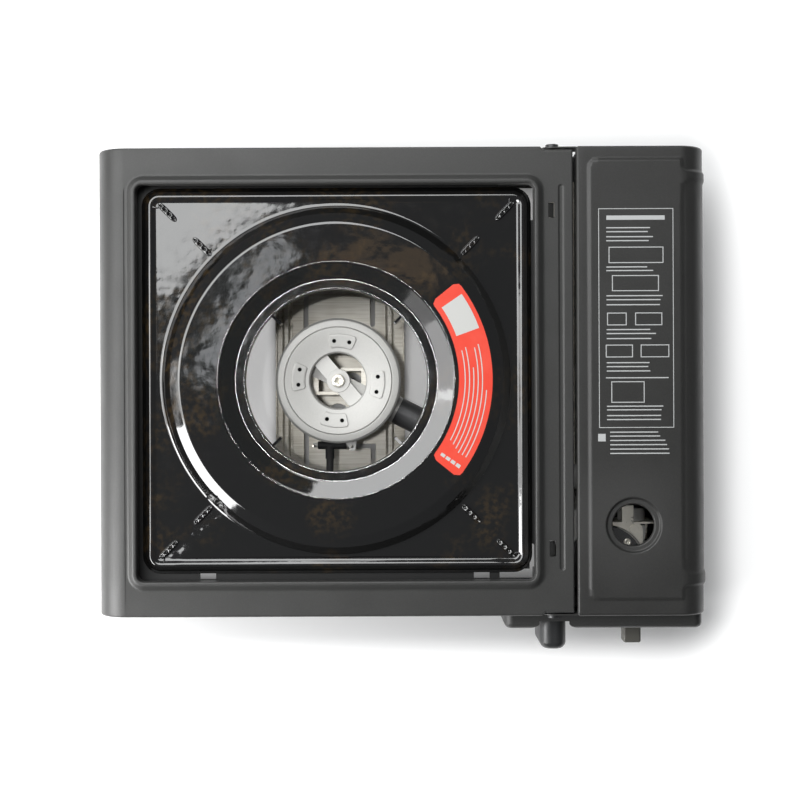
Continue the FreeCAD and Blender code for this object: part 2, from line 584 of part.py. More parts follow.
def make_burner():
    """Two-part cast burner with a cross bar, its screw, mixing tube, air shutter and jet."""
    base = new_body("burner_base")
    hole, wall = s.burner_hole, s.cap_wall
    seat = s.base_bottom + s.seat_rise
    revolve(base, [(hole, s.base_bottom), (s.burner_radius - 7, s.base_bottom),
                   (s.burner_radius, s.base_lip - 5.5), (s.burner_radius, s.base_lip),
                   (s.cap_radius + 0.3, s.base_lip), (s.cap_radius + 0.3, seat),
                   (s.burner_radius - 8.5, s.base_bottom + 3), (hole + wall + 0.4, s.base_bottom + 3),
                   (hole + wall, seat), (hole, seat)])
    pad(base, "XY", s.base_bottom, s.base_bottom + 8,
        centred(0, 0, 2 * hole + wall, s.low_bar_width))
    collar = s.burner_radius - 11
    pad(base, "YZ", collar, s.tube_start, circle(0, tube_height, s.tube_radius))
    pocket(base, "YZ", collar, s.tube_start + 1, circle(0, tube_height, s.tube_radius - s.tube_wall))
    ahead, across = cosine(s.lug_angle - tube_angle), sine(s.lug_angle - tube_angle)
    outline = [(s.burner_radius - 2, -s.lug_width / 2), (s.burner_radius + s.lug_length, -1.1),
               (s.burner_radius + s.lug_length, 1.1), (s.burner_radius - 2, s.lug_width / 2)]
    pad(base, "XY", s.base_lip - 4, s.base_lip - 2,
        [(along * ahead - side * across, along * across + side * ahead) for along, side in outline])
    eye = s.burner_radius + s.lug_length - 2.4
    pocket(base, "XY", s.base_lip - 5, s.base_lip - 1, circle(eye * ahead, eye * across, 0.8))
    pocket(base, "XY", s.base_bottom - 1, s.base_bottom + 9, circle(0, 0, s.screw_shank + 0.1))
    place(base, burner_x, burner_y, 0, turn=tube_angle)

    cap = new_body("burner_cap")
    top, rim = s.cap_top, s.cap_radius
    revolve(cap, [(hole, seat), (hole + wall, seat), (hole + wall, top - 3), (rim - wall, top - 3),
                  (rim - wall, seat + 0.4), (rim, seat + 0.4), (rim, top - 1.5), (rim - 1.5, top),
                  (hole + 0.8, top), (hole, top - 0.8)])
    pad(cap, "XY", top - 5, top - 2, centred(0, 0, 2 * hole + wall, s.bar_width))
    pad(cap, "XY", top - 6, top - 1.4, circle(0, 0, s.boss_radius))
    pad_r, half = s.pad_radius, s.pad_half_angle
    far, near = pad_r + s.pad_depth / 2, pad_r - s.pad_depth / 2
    for quarter in range(4):
        start = s.pad_turn - s.bar_angle + quarter * 90
        a, z = start - half, start + half
        pad(cap, "XY", top - 0.5, top + s.pad_height,
            [(near * cosine(z), near * sine(z)), (near * cosine(a), near * sine(a), -near),
             (far * cosine(a), far * sine(a)), (far * cosine(z), far * sine(z), far)])
        for side in (-1, 1):
            hole_angle = start + side * s.port_angle
            pocket(cap, "XY", top - 4, top + s.pad_height + 1,
                   circle(pad_r * cosine(hole_angle), pad_r * sine(hole_angle), s.port_radius))
    pocket(cap, "XY", top - 7, top, circle(0, 0, s.screw_shank + 0.1))
    place(cap, burner_x, burner_y, 0, turn=s.bar_angle)

    head = rod("Z", burner_x, burner_y, top - 1.4, s.screw_head, 1.9)
    shank = rod("Z", burner_x, burner_y, s.base_bottom - 3, s.screw_shank, top - 1 - s.base_bottom + 3)
    keep("burner_screw", fuse(head, shank))

    for label, radius, wall_size, low, high in (
            ("mixing_tube", s.tube_radius, s.tube_wall, s.tube_start, tube_end),
            ("air_shutter", s.tube_radius + 0.1 + s.shutter_wall, s.shutter_wall,
             tube_end - s.shutter_length, tube_end)):
        tube = new_body(label)
        pad(tube, "YZ", low, high, circle(0, tube_height, radius),
            circle(0, tube_height, radius - wall_size))
        if label == "air_shutter":
            for side in (-1, 1):
                pocket(tube, "XY", tube_height - 20, tube_height + 20,
                       centred((low + high) / 2, side * s.tube_radius * 0.55, s.shutter_length / 2, 3))
        else:
            pocket(tube, "XY", tube_height - 20, tube_height + 20,
                   centred(high - s.shutter_length / 2, 0, s.shutter_length / 2, 8))
        place(tube, burner_x, burner_y, 0, turn=tube_angle)
    jet = new_body("gas_nozzle")
    pad(jet, "YZ", nozzle_tip, nozzle_seat, circle(0, tube_height, s.nozzle_radius))
    pad(jet, "YZ", nozzle_seat - 4, nozzle_seat, circle(0, tube_height, s.nozzle_radius + 1.8))
    pocket(jet, "YZ", nozzle_tip - 1, nozzle_tip + 8, circle(0, tube_height, 0.6))
    place(jet, burner_x, burner_y, 0, turn=tube_angle)


def make_base():
    """Plated strip under the burner with folded sides and long slots, the bracket on it, screws and feet."""
    strip = new_body("base_strip")
    mid = burner_x + s.strip_shift
    x_low, x_high = mid - s.strip_width / 2, mid + s.strip_width / 2
    y_low, y_high = front + s.sheet + 0.3, rear - s.sheet - 0.3
    top = floor_level + s.strip_sheet
    pad(strip, "XY", floor_level, top, rectangle(x_low, x_high, y_low, y_high))
    for low, high in ((x_low, x_low + s.strip_sheet), (x_high - s.strip_sheet, x_high)):
        pad(strip, "XY", floor_level, top + s.strip_flange, rectangle(low, high, y_low + 4, y_high - 4))
    for offset in (s.strip_flange + 3, s.strip_width - s.strip_flange - 3):
        pad(strip, "XY", top - 0.2, top + 0.9, rectangle(x_low + offset - 2, x_low + offset + 2,
                                                        y_low + 16, y_high - 16))
    half = s.slot_width / 2
    near_x, far_x = mid + s.slot_left, mid + s.slot_right
    slots = [rectangle(near_x - half, near_x + half, y_low + 20, y_high - 20),
             rectangle(far_x - half, far_x + half, burner_y + 34, y_high - 20, half * 0.9),
             rectangle(far_x - half, far_x + half, y_low + 20, burner_y - 41),
             rectangle(near_x + 7, far_x + half, burner_y - 41, burner_y - 41 + s.slot_width)]
    for slot in slots:
        pocket(strip, "XY", floor_level - 1, top + 1, slot)
    for hole_x, hole_y, radius in ((6.5, 0, 5.7), (-2.7, -20, 6.8)):
        pocket(strip, "XY", floor_level - 1, top + 1, circle(burner_x + hole_x, burner_y + hole_y, radius))

    bracket = new_body("burner_bracket")
    h, t = s.bracket_half, s.bracket_sheet
    y_a, y_b = burner_y - s.bracket_depth / 2, burner_y + s.bracket_depth / 2
    x = burner_x
    level = s.base_bottom
    pad(bracket, "XZ", y_a, y_b,
        [(x - h - 8, top), (x - h, top), (x - h, level - t), (x + h, level - t), (x + h, top),
         (x + h + 8, top), (x + h + 8, top + t), (x + h + t, top + t), (x + h + t, level),
         (x - h - t, level), (x - h - t, top + t), (x - h - 8, top + t)])
    pocket(bracket, "XY", level - t - 1, level + 1, circle(x, burner_y, s.screw_shank + 0.1))
    pocket(bracket, "XY", level - t - 1, level + 1, rectangle(x - h + 3, x - 4, y_a + 2, y_b - 2),
           rectangle(x + 4, x + h - 3, y_a + 2, y_b - 2))

    screws = []
    for spot_x in (mid - s.strip_width / 2 + 14, mid + s.strip_width / 2 - 14):
        for spot_y in (front + s.sheet + 6, rear - s.sheet - 6):
            screws.append(rod("Z", spot_x, spot_y, top, 3.2, 1.6))
    keep("base_screws", group(*screws))
    feet = []
    for spot_x in (left + 14, low_right - 14):
        for spot_y in (front + 10.5, rear - 10.5):
            feet.append(rod("Z", spot_x, spot_y, 0, s.foot_radius - 0.8, s.foot_height, s.foot_radius))
    keep("feet", group(*feet))


def make_tray():
    """Cartridge bay: floor, two walls, guides for the push rod, spring lug and axle ears; heat shield."""
    tray = new_body("canister_tray")
    t = s.sheet
    y_low, y_high = low_front + t + s.bay_clearance, low_rear - t - s.bay_clearance
    wall_start = front + s.bay_start
    pad(tray, "XY", floor_level, floor_level + t, rectangle(bay_left, bay_right, y_low, y_high))
    for low, high, wall_top in ((bay_left, bay_left + t, bay_top),
                                (bay_right - t, bay_right, s.top_height - s.bay_right_drop)):
        pad(tray, "YZ", low, high, rectangle(wall_start, y_high, floor_level, wall_top))
    rod_x = bay_left + t + 2.4
    rod_z = s.lever_pivot_z + s.lever_crank
    for guide_y in (wall_start + 20, rear - 40):
        for edge in (rod_z - s.rod_height / 2 - 1.4, rod_z + s.rod_height / 2 + 0.4):
            pad(tray, "XY", edge, edge + 1,
                rectangle(bay_left + t, rod_x + s.rod_sheet + 1, guide_y, guide_y + 8))
    spring_z = floor_level + t + s.spring_radius + 3
    pad(tray, "XZ", spring_front - 1.2, spring_front,
        rectangle(bay_left + t, rod_x + 6, floor_level, spring_z + 3))
    for ear_x in (bay_left + 0.6, lever_x + 5):
        pad(tray, "YZ", ear_x, ear_x + 1.2,
            rectangle(lever_pivot_y - 4, lever_pivot_y + 4, floor_level, s.lever_pivot_z + 4))
        pocket(tray, "YZ", ear_x - 1, ear_x + 2.2, circle(lever_pivot_y, s.lever_pivot_z, s.axle_radius))
    for rib in (-1, 1):
        pad(tray, "XY", floor_level, floor_level + t + s.cartridge_rise / 2,
            rectangle(bay_x + rib * 14 - 1.5, bay_x + rib * 14 + 1.5, wall_start, push_plate_y - 8))

    shield = new_body("heat_shield")
    x = bay_left - 9
    pad(shield, "XZ", wall_start + 14, rear - 18,
        [(x, s.foot_height + 6), (x + t, s.foot_height + 6), (x + t, bay_top - 8 - t),
         (bay_left, bay_top - 8 - t), (bay_left, bay_top - 8), (x, bay_top - 8)])


def make_lid():
    """Sheet lid with a large side bend, an embossed panel, a dimpled window, end walls and hinge ears."""
    lid = new_body("canister_lid")
    t, r = s.sheet, s.lid_bend
    side_low = s.top_height - s.lid_side
    skirt_low = s.top_height - s.lid_skirt

    def arched(grow, start):
        """Closed outline under the lid's outer face, grown outwards."""
        return [(start, side_low), (lid_right + grow, side_low), (lid_right + grow, lid_top - r),
                (lid_right - r, lid_top + grow, r + grow), (start, lid_top + grow)]

    pad(lid, "XZ", front, rear, arched(Size(0), lid_left))
    pad(lid, "XZ", front + s.emboss_end, rear - s.emboss_end, arched(s.emboss, lid_left + s.emboss_inset))
    pocket(lid, "XZ", front + t, rear - t,
           [(lid_left - 1, side_low - 1), (lid_right - t, side_low - 1), (lid_right - t, lid_top - r),
            (lid_right - r, lid_top - t, r - t), (lid_left - 1, lid_top - t)])
    pocket(lid, "XZ", front + s.emboss_end + t, rear - s.emboss_end - t,
           [(lid_left + s.emboss_inset + t, side_low - 2), (lid_right + s.emboss - t, side_low - 2),
            (lid_right + s.emboss - t, lid_top - r), (lid_right - r, lid_top + s.emboss - t, r + s.emboss - t),
            (lid_left + s.emboss_inset + t, lid_top + s.emboss - t)])
    for low, high in ((front - 1, front + t + 0.1), (rear - t - 0.1, rear + 1)):
        pocket(lid, "XZ", low, high, rectangle(lid_left - 1, lid_right + 1, side_low - 1, skirt_low))
    e = s.ear_radius
    for low in (front, rear - t):
        pad(lid, "XZ", low, low + t,
            [(lid_left + 1, pivot_z - e), (lid_left + 1, pivot_z + e), (pivot_x, pivot_z + e),
             (pivot_x - e, pivot_z, e), (pivot_x, pivot_z - e, e)])
        pocket(lid, "XZ", low - 1, low + t + 1, circle(pivot_x, pivot_z, s.pin_radius + s.running_fit))
    # window: a dished ring with a round hole
    x, y = window_x, window_y
    level = lid_top + s.emboss
    pad(lid, "XY", level - s.dimple_depth - t, level, circle(x, y, s.dimple_radius + t))
    cone = new_body("window_dish")
    del nodes["window_dish"]
    revolve(cone, [(Size(0), Size(0)), (s.window_radius + 1.6, Size(0)),
                   (s.dimple_radius, s.dimple_depth + 0.01), (Size(0), s.dimple_depth + 0.01)])
    place(cone, x, y, level - s.dimple_depth)
    del nodes["canister_lid"]
    lid.Label = "lid_sheet"
    hole = rod("Z", x, y, level - 6, s.window_radius, 8)
    keep("canister_lid", cut(lid, cone, hole))

    pins = []
    for outward, face in ((-1, front), (1, rear)):
        face_in = face - outward * (s.joggle + s.sheet + 0.8)
        low, high = sorted((face + outward * 0.1, face_in), key=lambda v: v.number)
        shaft = rod("Y", pivot_x, low, pivot_z, s.pin_radius, high - low)
        head_low = face + 0.1 if outward > 0 else face - s.pin_proud
        head = rod("Y", pivot_x, head_low, pivot_z, s.pin_head, s.pin_proud - 0.1)
        tail_low = face_in - 0.7 if outward > 0 else face_in
        tail = rod("Y", pivot_x, tail_low, pivot_z, s.pin_radius + 1, 0.7)
        pins.append(fuse(shaft, head, tail))
    keep("hinge_pins", group(*pins))


def make_panel():
    """Moulded front panel, hollow behind, with the dial recess and the lever's slot."""
    panel = new_body("control_panel")
    back = front - s.panel_gap
    face = front - s.panel_proud
    pad(panel, "XZ", face, back,
        rectangle(panel_left, panel_right, s.panel_bottom, s.panel_top, s.panel_corner))
    round_edges(panel, 3.0, lambda e, m: abs(m.y - face.number) < 0.01)
    w = s.panel_wall
    pocket(panel, "XZ", face + w, back,
           rectangle(knob_x + s.recess_radius + w, panel_right - w, s.panel_bottom + w, s.panel_top - w, 2))
    pocket(panel, "XZ", face - 1, recess_face, circle(knob_x, s.knob_z, s.recess_radius))
    pocket(panel, "XZ", face - 1, back + 0.1, circle(knob_x, s.knob_z, s.knob_radius + 0.3))
    pocket(panel, "XZ", face - 1, face + w + 1,
           centred(lever_x, s.lever_tab_z - 3, s.lever_tab_width + 1, s.lever_tab_height + 26, 1))
    screws = []
    for spot_x, wall in ((panel_screw_left, front), (panel_screw_right, low_front)):
        if wall is low_front:
            pad(panel, "XZ", face + w - 0.1, wall, circle(spot_x, panel_screw_z, s.screw_shank + 1.6))
        pocket(panel, "XZ", face + w + 0.5, wall + 0.1, circle(spot_x, panel_screw_z, s.screw_shank - 0.5))
        shank = rod("Y", spot_x, face + w + 1, panel_screw_z, s.screw_shank - 0.55, wall + s.sheet - face - w)
        head = rod("Y", spot_x, wall + s.sheet, panel_screw_z, s.screw_shank + 1.2, 1.6)
        screws.append(fuse(shank, head))
    keep("panel_screws", group(*screws))


def make_knob():
    """Dial with a grip bar, its stem with the ignition cam, valve and pressure governor."""
    knob = new_body("knob")
    x, z = knob_x, s.knob_z
    face = knob_front
    pad(knob, "XZ", recess_face, recess_face + s.skirt_depth, circle(x, z, s.knob_radius))
    pad(knob, "XZ", face, recess_face + 0.5, centred(x, z, s.grip_width, s.grip_height, 6.5))
    round_edges(knob, 4.0, lambda e, m: abs(m.y - face.number) < 0.01)
    pocket(knob, "XZ", recess_face - 6, recess_face + s.skirt_depth + 1,
           circle(x, z, s.stem_radius + s.running_fit))
    stem = new_body("valve_stem")
    pad(stem, "XZ", recess_face - 5.5, barrel_front + 8, circle(x, z, s.stem_radius))
    cam = doc.addObject("Part::Feature", "ignition_cam")
    steps = 10
    turn = math.radians(SIZES["knob_turn"])
    low, rise = SIZES["cam_low"], SIZES["cam_rise"]
    start = math.radians(-90)

    def rim(angle):
        radius = low + rise * angle / turn
        return Vector(radius * math.cos(start - angle), 0, radius * math.sin(start - angle))

    edges = []
    for step in range(steps):
        a, b = turn * step / steps, turn * (step + 1) / steps
        edges.append(Part.Arc(rim(a), rim((a + b) / 2), rim(b)).toShape())
    opposite = Vector(low * 0.6, 0, low * 0.8)
    edges.append(Part.makeLine(rim(turn), opposite))
    edges.append(Part.Arc(opposite, Vector(low, 0, 0), rim(0)).toShape())
    profile = Part.Face(Part.Wire(edges))
    width = SIZES["cam_width"]
    solid = profile.extrude(Vector(0, width, 0))
    bore = Part.makeCylinder(SIZES["stem_radius"] + SIZES["running_fit"], width, Vector(), Vector(0, 1, 0))
    cam.Shape = solid.cut(bore)
    cam.Placement = Placement(Vector(x.number, cam_front.number, z.number), Rotation(Vector(0, 1, 0), 0))
    keep("ignition_cam", cam)

    gx, gy, gz = governor_x, governor_y, s.governor_bottom
    height = s.governor_height
    disc = rod("Z", gx, gy, gz, s.governor_radius, height)
    barrel = rod("Y", x, barrel_front, z, s.barrel_radius, barrel_back - barrel_front)
    neck = block(x + 2, gx - s.governor_radius + 4, barrel_front + 4, barrel_back - 3,
                 gz + 5, gz + height - 1)
    inlet_block = block(bay_x - 9, bay_x + 7, gy + 6, inlet_end - 10, gz + 1, gz + height - 1)
    inlet = rod("Y", bay_x, gy + 20, bay_z, s.inlet_radius, inlet_end - gy - 20)
    outlet = doc.addObject("Part::Cylinder", "outlet")
    bind(outlet, Radius=5.5, Height=14)
    along = nozzle_seat
    place(outlet, burner_x + along * cosine(tube_angle), burner_y + along * sine(tube_angle),
          tube_height)
    outlet.Placement = Placement(outlet.Placement.Base,
                                 Rotation(Vector(0, 0, 1), tube_angle.number) * Rotation(Vector(0, 1, 0), 90))
    link = block(gx - 16, gx - 4, gy + 12, gy + 36, gz + 6, gz + height - 1)
    boss = rod("Z", claw_screw_x, claw_screw_y, gz + 4, 2.8, s.claw_top - s.claw_sheet - gz - 4)
    thread = rod("Z", claw_screw_x, claw_screw_y, gz + height - 4, 1.55, 20)
    body = fuse(disc, barrel, neck, inlet_block, inlet, outlet, link, boss)
    stem_bore = rod("Y", x, barrel_front - 1, z, s.stem_radius + s.running_fit, 12)
    inlet_bore = rod("Y", bay_x, inlet_end - 6, bay_z, 3.2, 7)
    keep("valve_body", cut(body, stem_bore, inlet_bore, thread))
    cover = rod("Z", gx, gy, gz + height, s.governor_radius, s.cover_height)
    dome = rod("Z", gx, gy, gz + height + s.cover_height - 0.5, 12, 2.5, 9)
    keep("governor_cover", fuse(cover, dome))
    screws = []
    for turn_angle in (45, 135, 225, 315):
        spot_x = gx + (s.governor_radius - 4) * cosine(turn_angle)
        spot_y = gy + (s.governor_radius - 4) * sine(turn_angle)
        screws.append(rod("Z", spot_x, spot_y, gz + height + s.cover_height, 2.2, 1.0))
    keep("governor_screws", group(*screws))
    ring = doc.addObject("Part::Torus", "inlet_seal")
    bind(ring, Radius1=4.6, Radius2=1.0)
    place(ring, bay_x, inlet_end + 1.05, bay_z)
    ring.Placement = Placement(ring.Placement.Base, TURNS["Y"])
    keep("inlet_seal", ring)


def make_claw():
    """Bright plated bracket over the valve: cartridge face plate, top plate with a round cut, screw, wire."""
    claw = new_body("cartridge_claw")
    t = s.claw_sheet
    top = s.claw_top
    face_y = claw_back - 1.0
    x_low = governor_x - 16
    pad(claw, "XY", top - t, top, rectangle(x_low, claw_right, governor_y + 8, claw_back, 5))
    pocket(claw, "XY", top - t - 1, top + 1, circle(governor_x, governor_y, s.governor_radius + 1.0))
    face_low = bay_z - s.inlet_radius - 8
    pad(claw, "XZ", claw_back - t, claw_back, rectangle(bay_x - 12, claw_right + 8, face_low, top))
    pocket(claw, "XZ", claw_back - t - 1, claw_back + 1, circle(bay_x, bay_z, s.inlet_radius + 0.2))
    pad(claw, "XY", face_low, face_low + t, rectangle(bay_x - 12, claw_right + 8, face_y - 12, claw_back))
    pad(claw, "XY", top - t, top,
        rectangle(window_x - 2.0, window_x + 4.7, claw_back - 1, claw_back + 9.6))
    pocket(claw, "XY", top - t - 1, top + 1, circle(claw_screw_x, claw_screw_y, 1.55))
    head = rod("Z", claw_screw_x, claw_screw_y, top, 2.6, 1.3)
    shank_low = s.governor_bottom + s.governor_height - 3
    shank = rod("Z", claw_screw_x, claw_screw_y, shank_low, 1.5, top - shank_low + 0.5)
    keep("claw_screw", fuse(head, shank))


def make_igniter():
    """Upright piezo igniter under the stem, its plunger, and the electrode at the burner."""
    half = s.igniter_width / 2
    x, y = knob_x, (cam_front + cam_back) / 2
    low = floor_level
    top = low + s.igniter_height
    body = block(x - half, x + half, igniter_y - half, igniter_y + half, low, top)
    well = rod("Z", x, y, top - 12, s.plunger_radius + s.running_fit, 13)
    keep("igniter_body", cut(body, well))
    tip = s.knob_z - s.cam_low - s.cam_clearance
    thick = rod("Z", x, y, top - 6, s.plunger_radius, tip - top + 3)
    thin = rod("Z", x, y, tip - 3.5, 1.0, 3.5)
    keep("igniter_plunger", fuse(thick, thin))


def tube_along(points, radius):
    """A round tube of straight runs joined by tangent arcs; prints its least arc radius."""
    edges = []
    tightest = []
    at = points[0]
    for i in range(1, len(points) - 1):
        before, corner, after = points[i - 1], points[i], points[i + 1]
        into, out = (corner - before), (after - corner)
        turn = into.getAngle(out)
        short = min(into.Length, out.Length)
        bend = 0.45 * short / math.tan(turn / 2)
        setback = 0.45 * short
        into.normalize()
        out.normalize()
        start, end = corner - into * setback, corner + out * setback
        middle = corner + (out - into).normalize() * (bend / math.cos(turn / 2) - bend)
        edges.append(Part.LineSegment(at, start).toShape())
        edges.append(Part.Arc(start, middle, end).toShape())
        tightest.append(round(bend, 1))
        at = end
    edges.append(Part.LineSegment(at, points[-1]).toShape())
    wire = Part.Wire(edges)
    direction = points[1] - points[0]
    disc = Part.Wire(Part.makeCircle(radius, points[0], direction))
    shape = wire.makePipeShell([disc], True, False)
    length = sum(edge.Length for edge in edges)
    print("lead radii", tightest, "volume ratio", round(shape.Volume / (math.pi * radius ** 2 * length), 4))
    return shape


def make_electrode():
    """Black boot at the burner's front edge, ceramic rod with its tip, clip, and the ignition lead."""
    bx, by = burner_x, burner_y
    y = by - s.burner_radius - 1.6
    z = s.base_lip - 14
    boot = rod("X", bx - 13, y, z, 2.3, 17)
    stub = rod("Y", bx - 6, y - 8, z, 2.6, 7.5)
    ceramic_bore = rod("X", bx - 13.5, y, z, 1.45, 18)
    keep("electrode_boot", cut(fuse(boot, stub), ceramic_bore))
    keep("electrode", rod("X", bx - 16, y, z, 1.4, 24.5))
    keep("electrode_tip", rod("Z", bx - 15, y, z + 1.4, 0.6, 12.5))
    arm = block(bx + 5.9, bx + 7.1, y - 2.4, y + 1.6, z - 2.2, s.base_lip - 4)
    keep("electrode_clip", cut(arm, rod("X", bx + 4, y, z, 1.45, 6)))
    lead = doc.addObject("Part::Feature", "ignition_lead")
    start = Vector((bx - 6).number, (y - 8).number, z.number)
    exit_z = floor_level.number + 8
    end = Vector(knob_x.number, igniter_y.number + SIZES["igniter_width"] / 2, exit_z)
    points = [start, start + Vector(0, -9.5, 0), start + Vector(-1, -23, -12),
              start + Vector(9, -38, -25), start + Vector(34, -47, -27.5), start + Vector(66, -50, -27.5),
              end + Vector(-34, 21, 0.6), end + Vector(-9, 21, 0.6), end + Vector(0, 11, 0), end]
    lead.Shape = tube_along(points, SIZES["lead_radius"])
    keep("ignition_lead", lead)


def make_lever():
    """Lock lever with its tab and axle, push rod with the rear plate, and the return spring."""
    px, py, pz = lever_x, lever_pivot_y, s.lever_pivot_z
    t = s.lever_sheet
    rod_x = bay_left + s.sheet + 2.4
    sleeve_low, sleeve_high = rod_x + s.rod_sheet + 0.4, lever_x + 4.6
    arm = new_body("lever_arm")
    del nodes["lever_arm"]
    tab_z = s.lever_tab_z + s.lever_tab_height / 2
    neck_front = lever_front + 3
    arm_back = low_front - 0.5
    pad(arm, "YZ", px - t / 2, px + t / 2,
        [(py + 3, pz - 3), (py + 3, pz + 3), (arm_back, pz + 23.5), (arm_back, tab_z + 3),
         (neck_front, tab_z + 3), (neck_front, tab_z - 3), (arm_back - 4, tab_z - 3), (arm_back - 4, pz + 17),
         (py - 3, pz - 3)])
    sleeve = rod("X", sleeve_low, py, pz, s.axle_radius + 1.4, sleeve_high - sleeve_low)
    crank = block(sleeve_low, sleeve_low + t, py - 3, py + 3, pz - 1, pz + s.lever_crank + 3)
    crank_pin = rod("X", rod_x - 0.6, py, pz + s.lever_crank, 1.5, sleeve_low + t - rod_x + 0.6)
    bore = rod("X", sleeve_low - 6, py, pz, s.axle_radius + s.running_fit, sleeve_high - sleeve_low + 12)
    keep("lock_lever", cut(fuse(arm, sleeve, crank, crank_pin), bore))
    arm.Label = "lever_plate"
    tab = block(px - s.lever_tab_width / 2, px + s.lever_tab_width / 2, lever_front,
                front - s.panel_proud - 0.9, s.lever_tab_z, s.lever_tab_z + s.lever_tab_height)
    rounded = doc.addObject("Part::Fillet", "tab_round")
    rounded.Base = tab
    doc.recompute()
    rounded.Edges = [(number, 1.4, 1.4) for number in range(1, 13)]
    slit = block(px - t / 2 - 0.02, px + t / 2 + 0.02, neck_front - 0.02, front, tab_z - 3.02, tab_z + 3.02)
    keep("lever_tab", cut(rounded, slit))
    axle = rod("X", bay_left + 0.2, py, pz, s.axle_radius - 0.01, lever_x + 7 - bay_left)
    keep("lever_pin", axle)

    rod_z = pz + s.lever_crank
    half = s.rod_height / 2
    bar = block(rod_x, rod_x + s.rod_sheet, py - 6, push_plate_y, rod_z - half, rod_z + half)
    slot = block(rod_x - 1, rod_x + s.rod_sheet + 1, py - 1.6, py + 1.6, rod_z - 3, rod_z + 3)
    spring_z = floor_level + s.sheet + s.spring_radius + 3
    lug = block(rod_x, rod_x + 6, spring_back, spring_back + 1.4, spring_z - 4, rod_z - half + 0.5)
    keep("push_rod", cut(fuse(bar, lug), slot))
    plate = block(rod_x, bay_x + 22, push_plate_y, push_plate_y + 1.5, floor_level + 6, bay_z + 24)
    keep("push_plate", plate)
    spring = doc.addObject("Part::Feature", "push_spring")
    gap = 0.05 + SIZES["spring_wire"] / 2
    low, high = spring_front.number + gap, spring_back.number - gap
    centre = Vector((rod_x + 3.4).number, 0, spring_z.number)
    spring.Shape = coil(centre, low, high, SIZES["spring_radius"], SIZES["spring_wire"] / 2,
                        int(SIZES["spring_turns"]))
    keep("push_spring", spring)


def coil(centre, low, high, radius, wire_radius, turns):
    """A helix along Y of quarter-turn biarcs, swept by the wire; prints its least gap between turns."""
    def on(angle):
        y = low + (high - low) * angle / (2 * math.pi * turns)
        return Vector(centre.x + radius * math.cos(angle), y, centre.z + radius * math.sin(angle))

    def heading(angle):
        rise = (high - low) / (2 * math.pi * turns)
        return Vector(-radius * math.sin(angle), rise, radius * math.cos(angle)).normalize()

    edges = []
    for quarter in range(4 * turns):
        a, b = quarter * math.pi / 2, (quarter + 1) * math.pi / 2
        p, q, u, v = on(a), on(b), heading(a), heading(b)
        chord = q - p
        k = 2 * (1 - u.dot(v))
        lean = chord.dot(u + v)
        reach = (-lean + math.sqrt(lean * lean + k * chord.dot(chord))) / k
        joint = (p + u * reach + q - v * reach) / 2
        for start, end, tangent in ((p, joint, u), (joint, q, None)):
            if tangent is None:
                back = -v
                edges.append(arc_from(end, start, back))
            else:
                edges.append(arc_from(start, end, tangent))
    wire = Part.Wire(Part.__sortEdges__(edges))
    disc = Part.Wire(Part.makeCircle(wire_radius, on(0), heading(0)))
    print("spring least gap", round((high - low) / turns - 2 * wire_radius, 2))
    return wire.makePipeShell([disc], True, False)


def arc_from(start, end, tangent):
    """The arc from start to end that leaves start along the tangent."""
    chord = end - start
    side = chord - tangent * chord.dot(tangent)
    side.normalize()
    radius = chord.dot(chord) / (2 * chord.dot(side))
    centre = start + side * radius
    half = (start + end) / 2 - centre
    return Part.Arc(start, centre + half.normalize() * radius, end).toShape()


make_body_shell()
make_ledge()
make_pan()
make_supports()
make_label()
make_burner()
make_base()
make_tray()
make_lid()
make_panel()
make_knob()
make_claw()
make_igniter()
make_electrode()
make_lever()
doc.recompute()

for thing in doc.Objects:
    if "Invalid" in thing.State or "Error" in thing.State:
        raise ValueError(f"{thing.Label} ({thing.Name}) failed: {thing.State}")
for label, thing in nodes.items():
    if thing.Shape.isNull() or not thing.Shape.isValid() or not thing.Shape.Solids:
        raise ValueError(f"{label} has no valid solid")

os.makedirs("parts", exist_ok=True)
for label, thing in nodes.items():
    thing.Shape.exportStep(f"parts/{label}.step")
print(len(nodes), "sub-parts written")
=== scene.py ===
import json
import math
import random

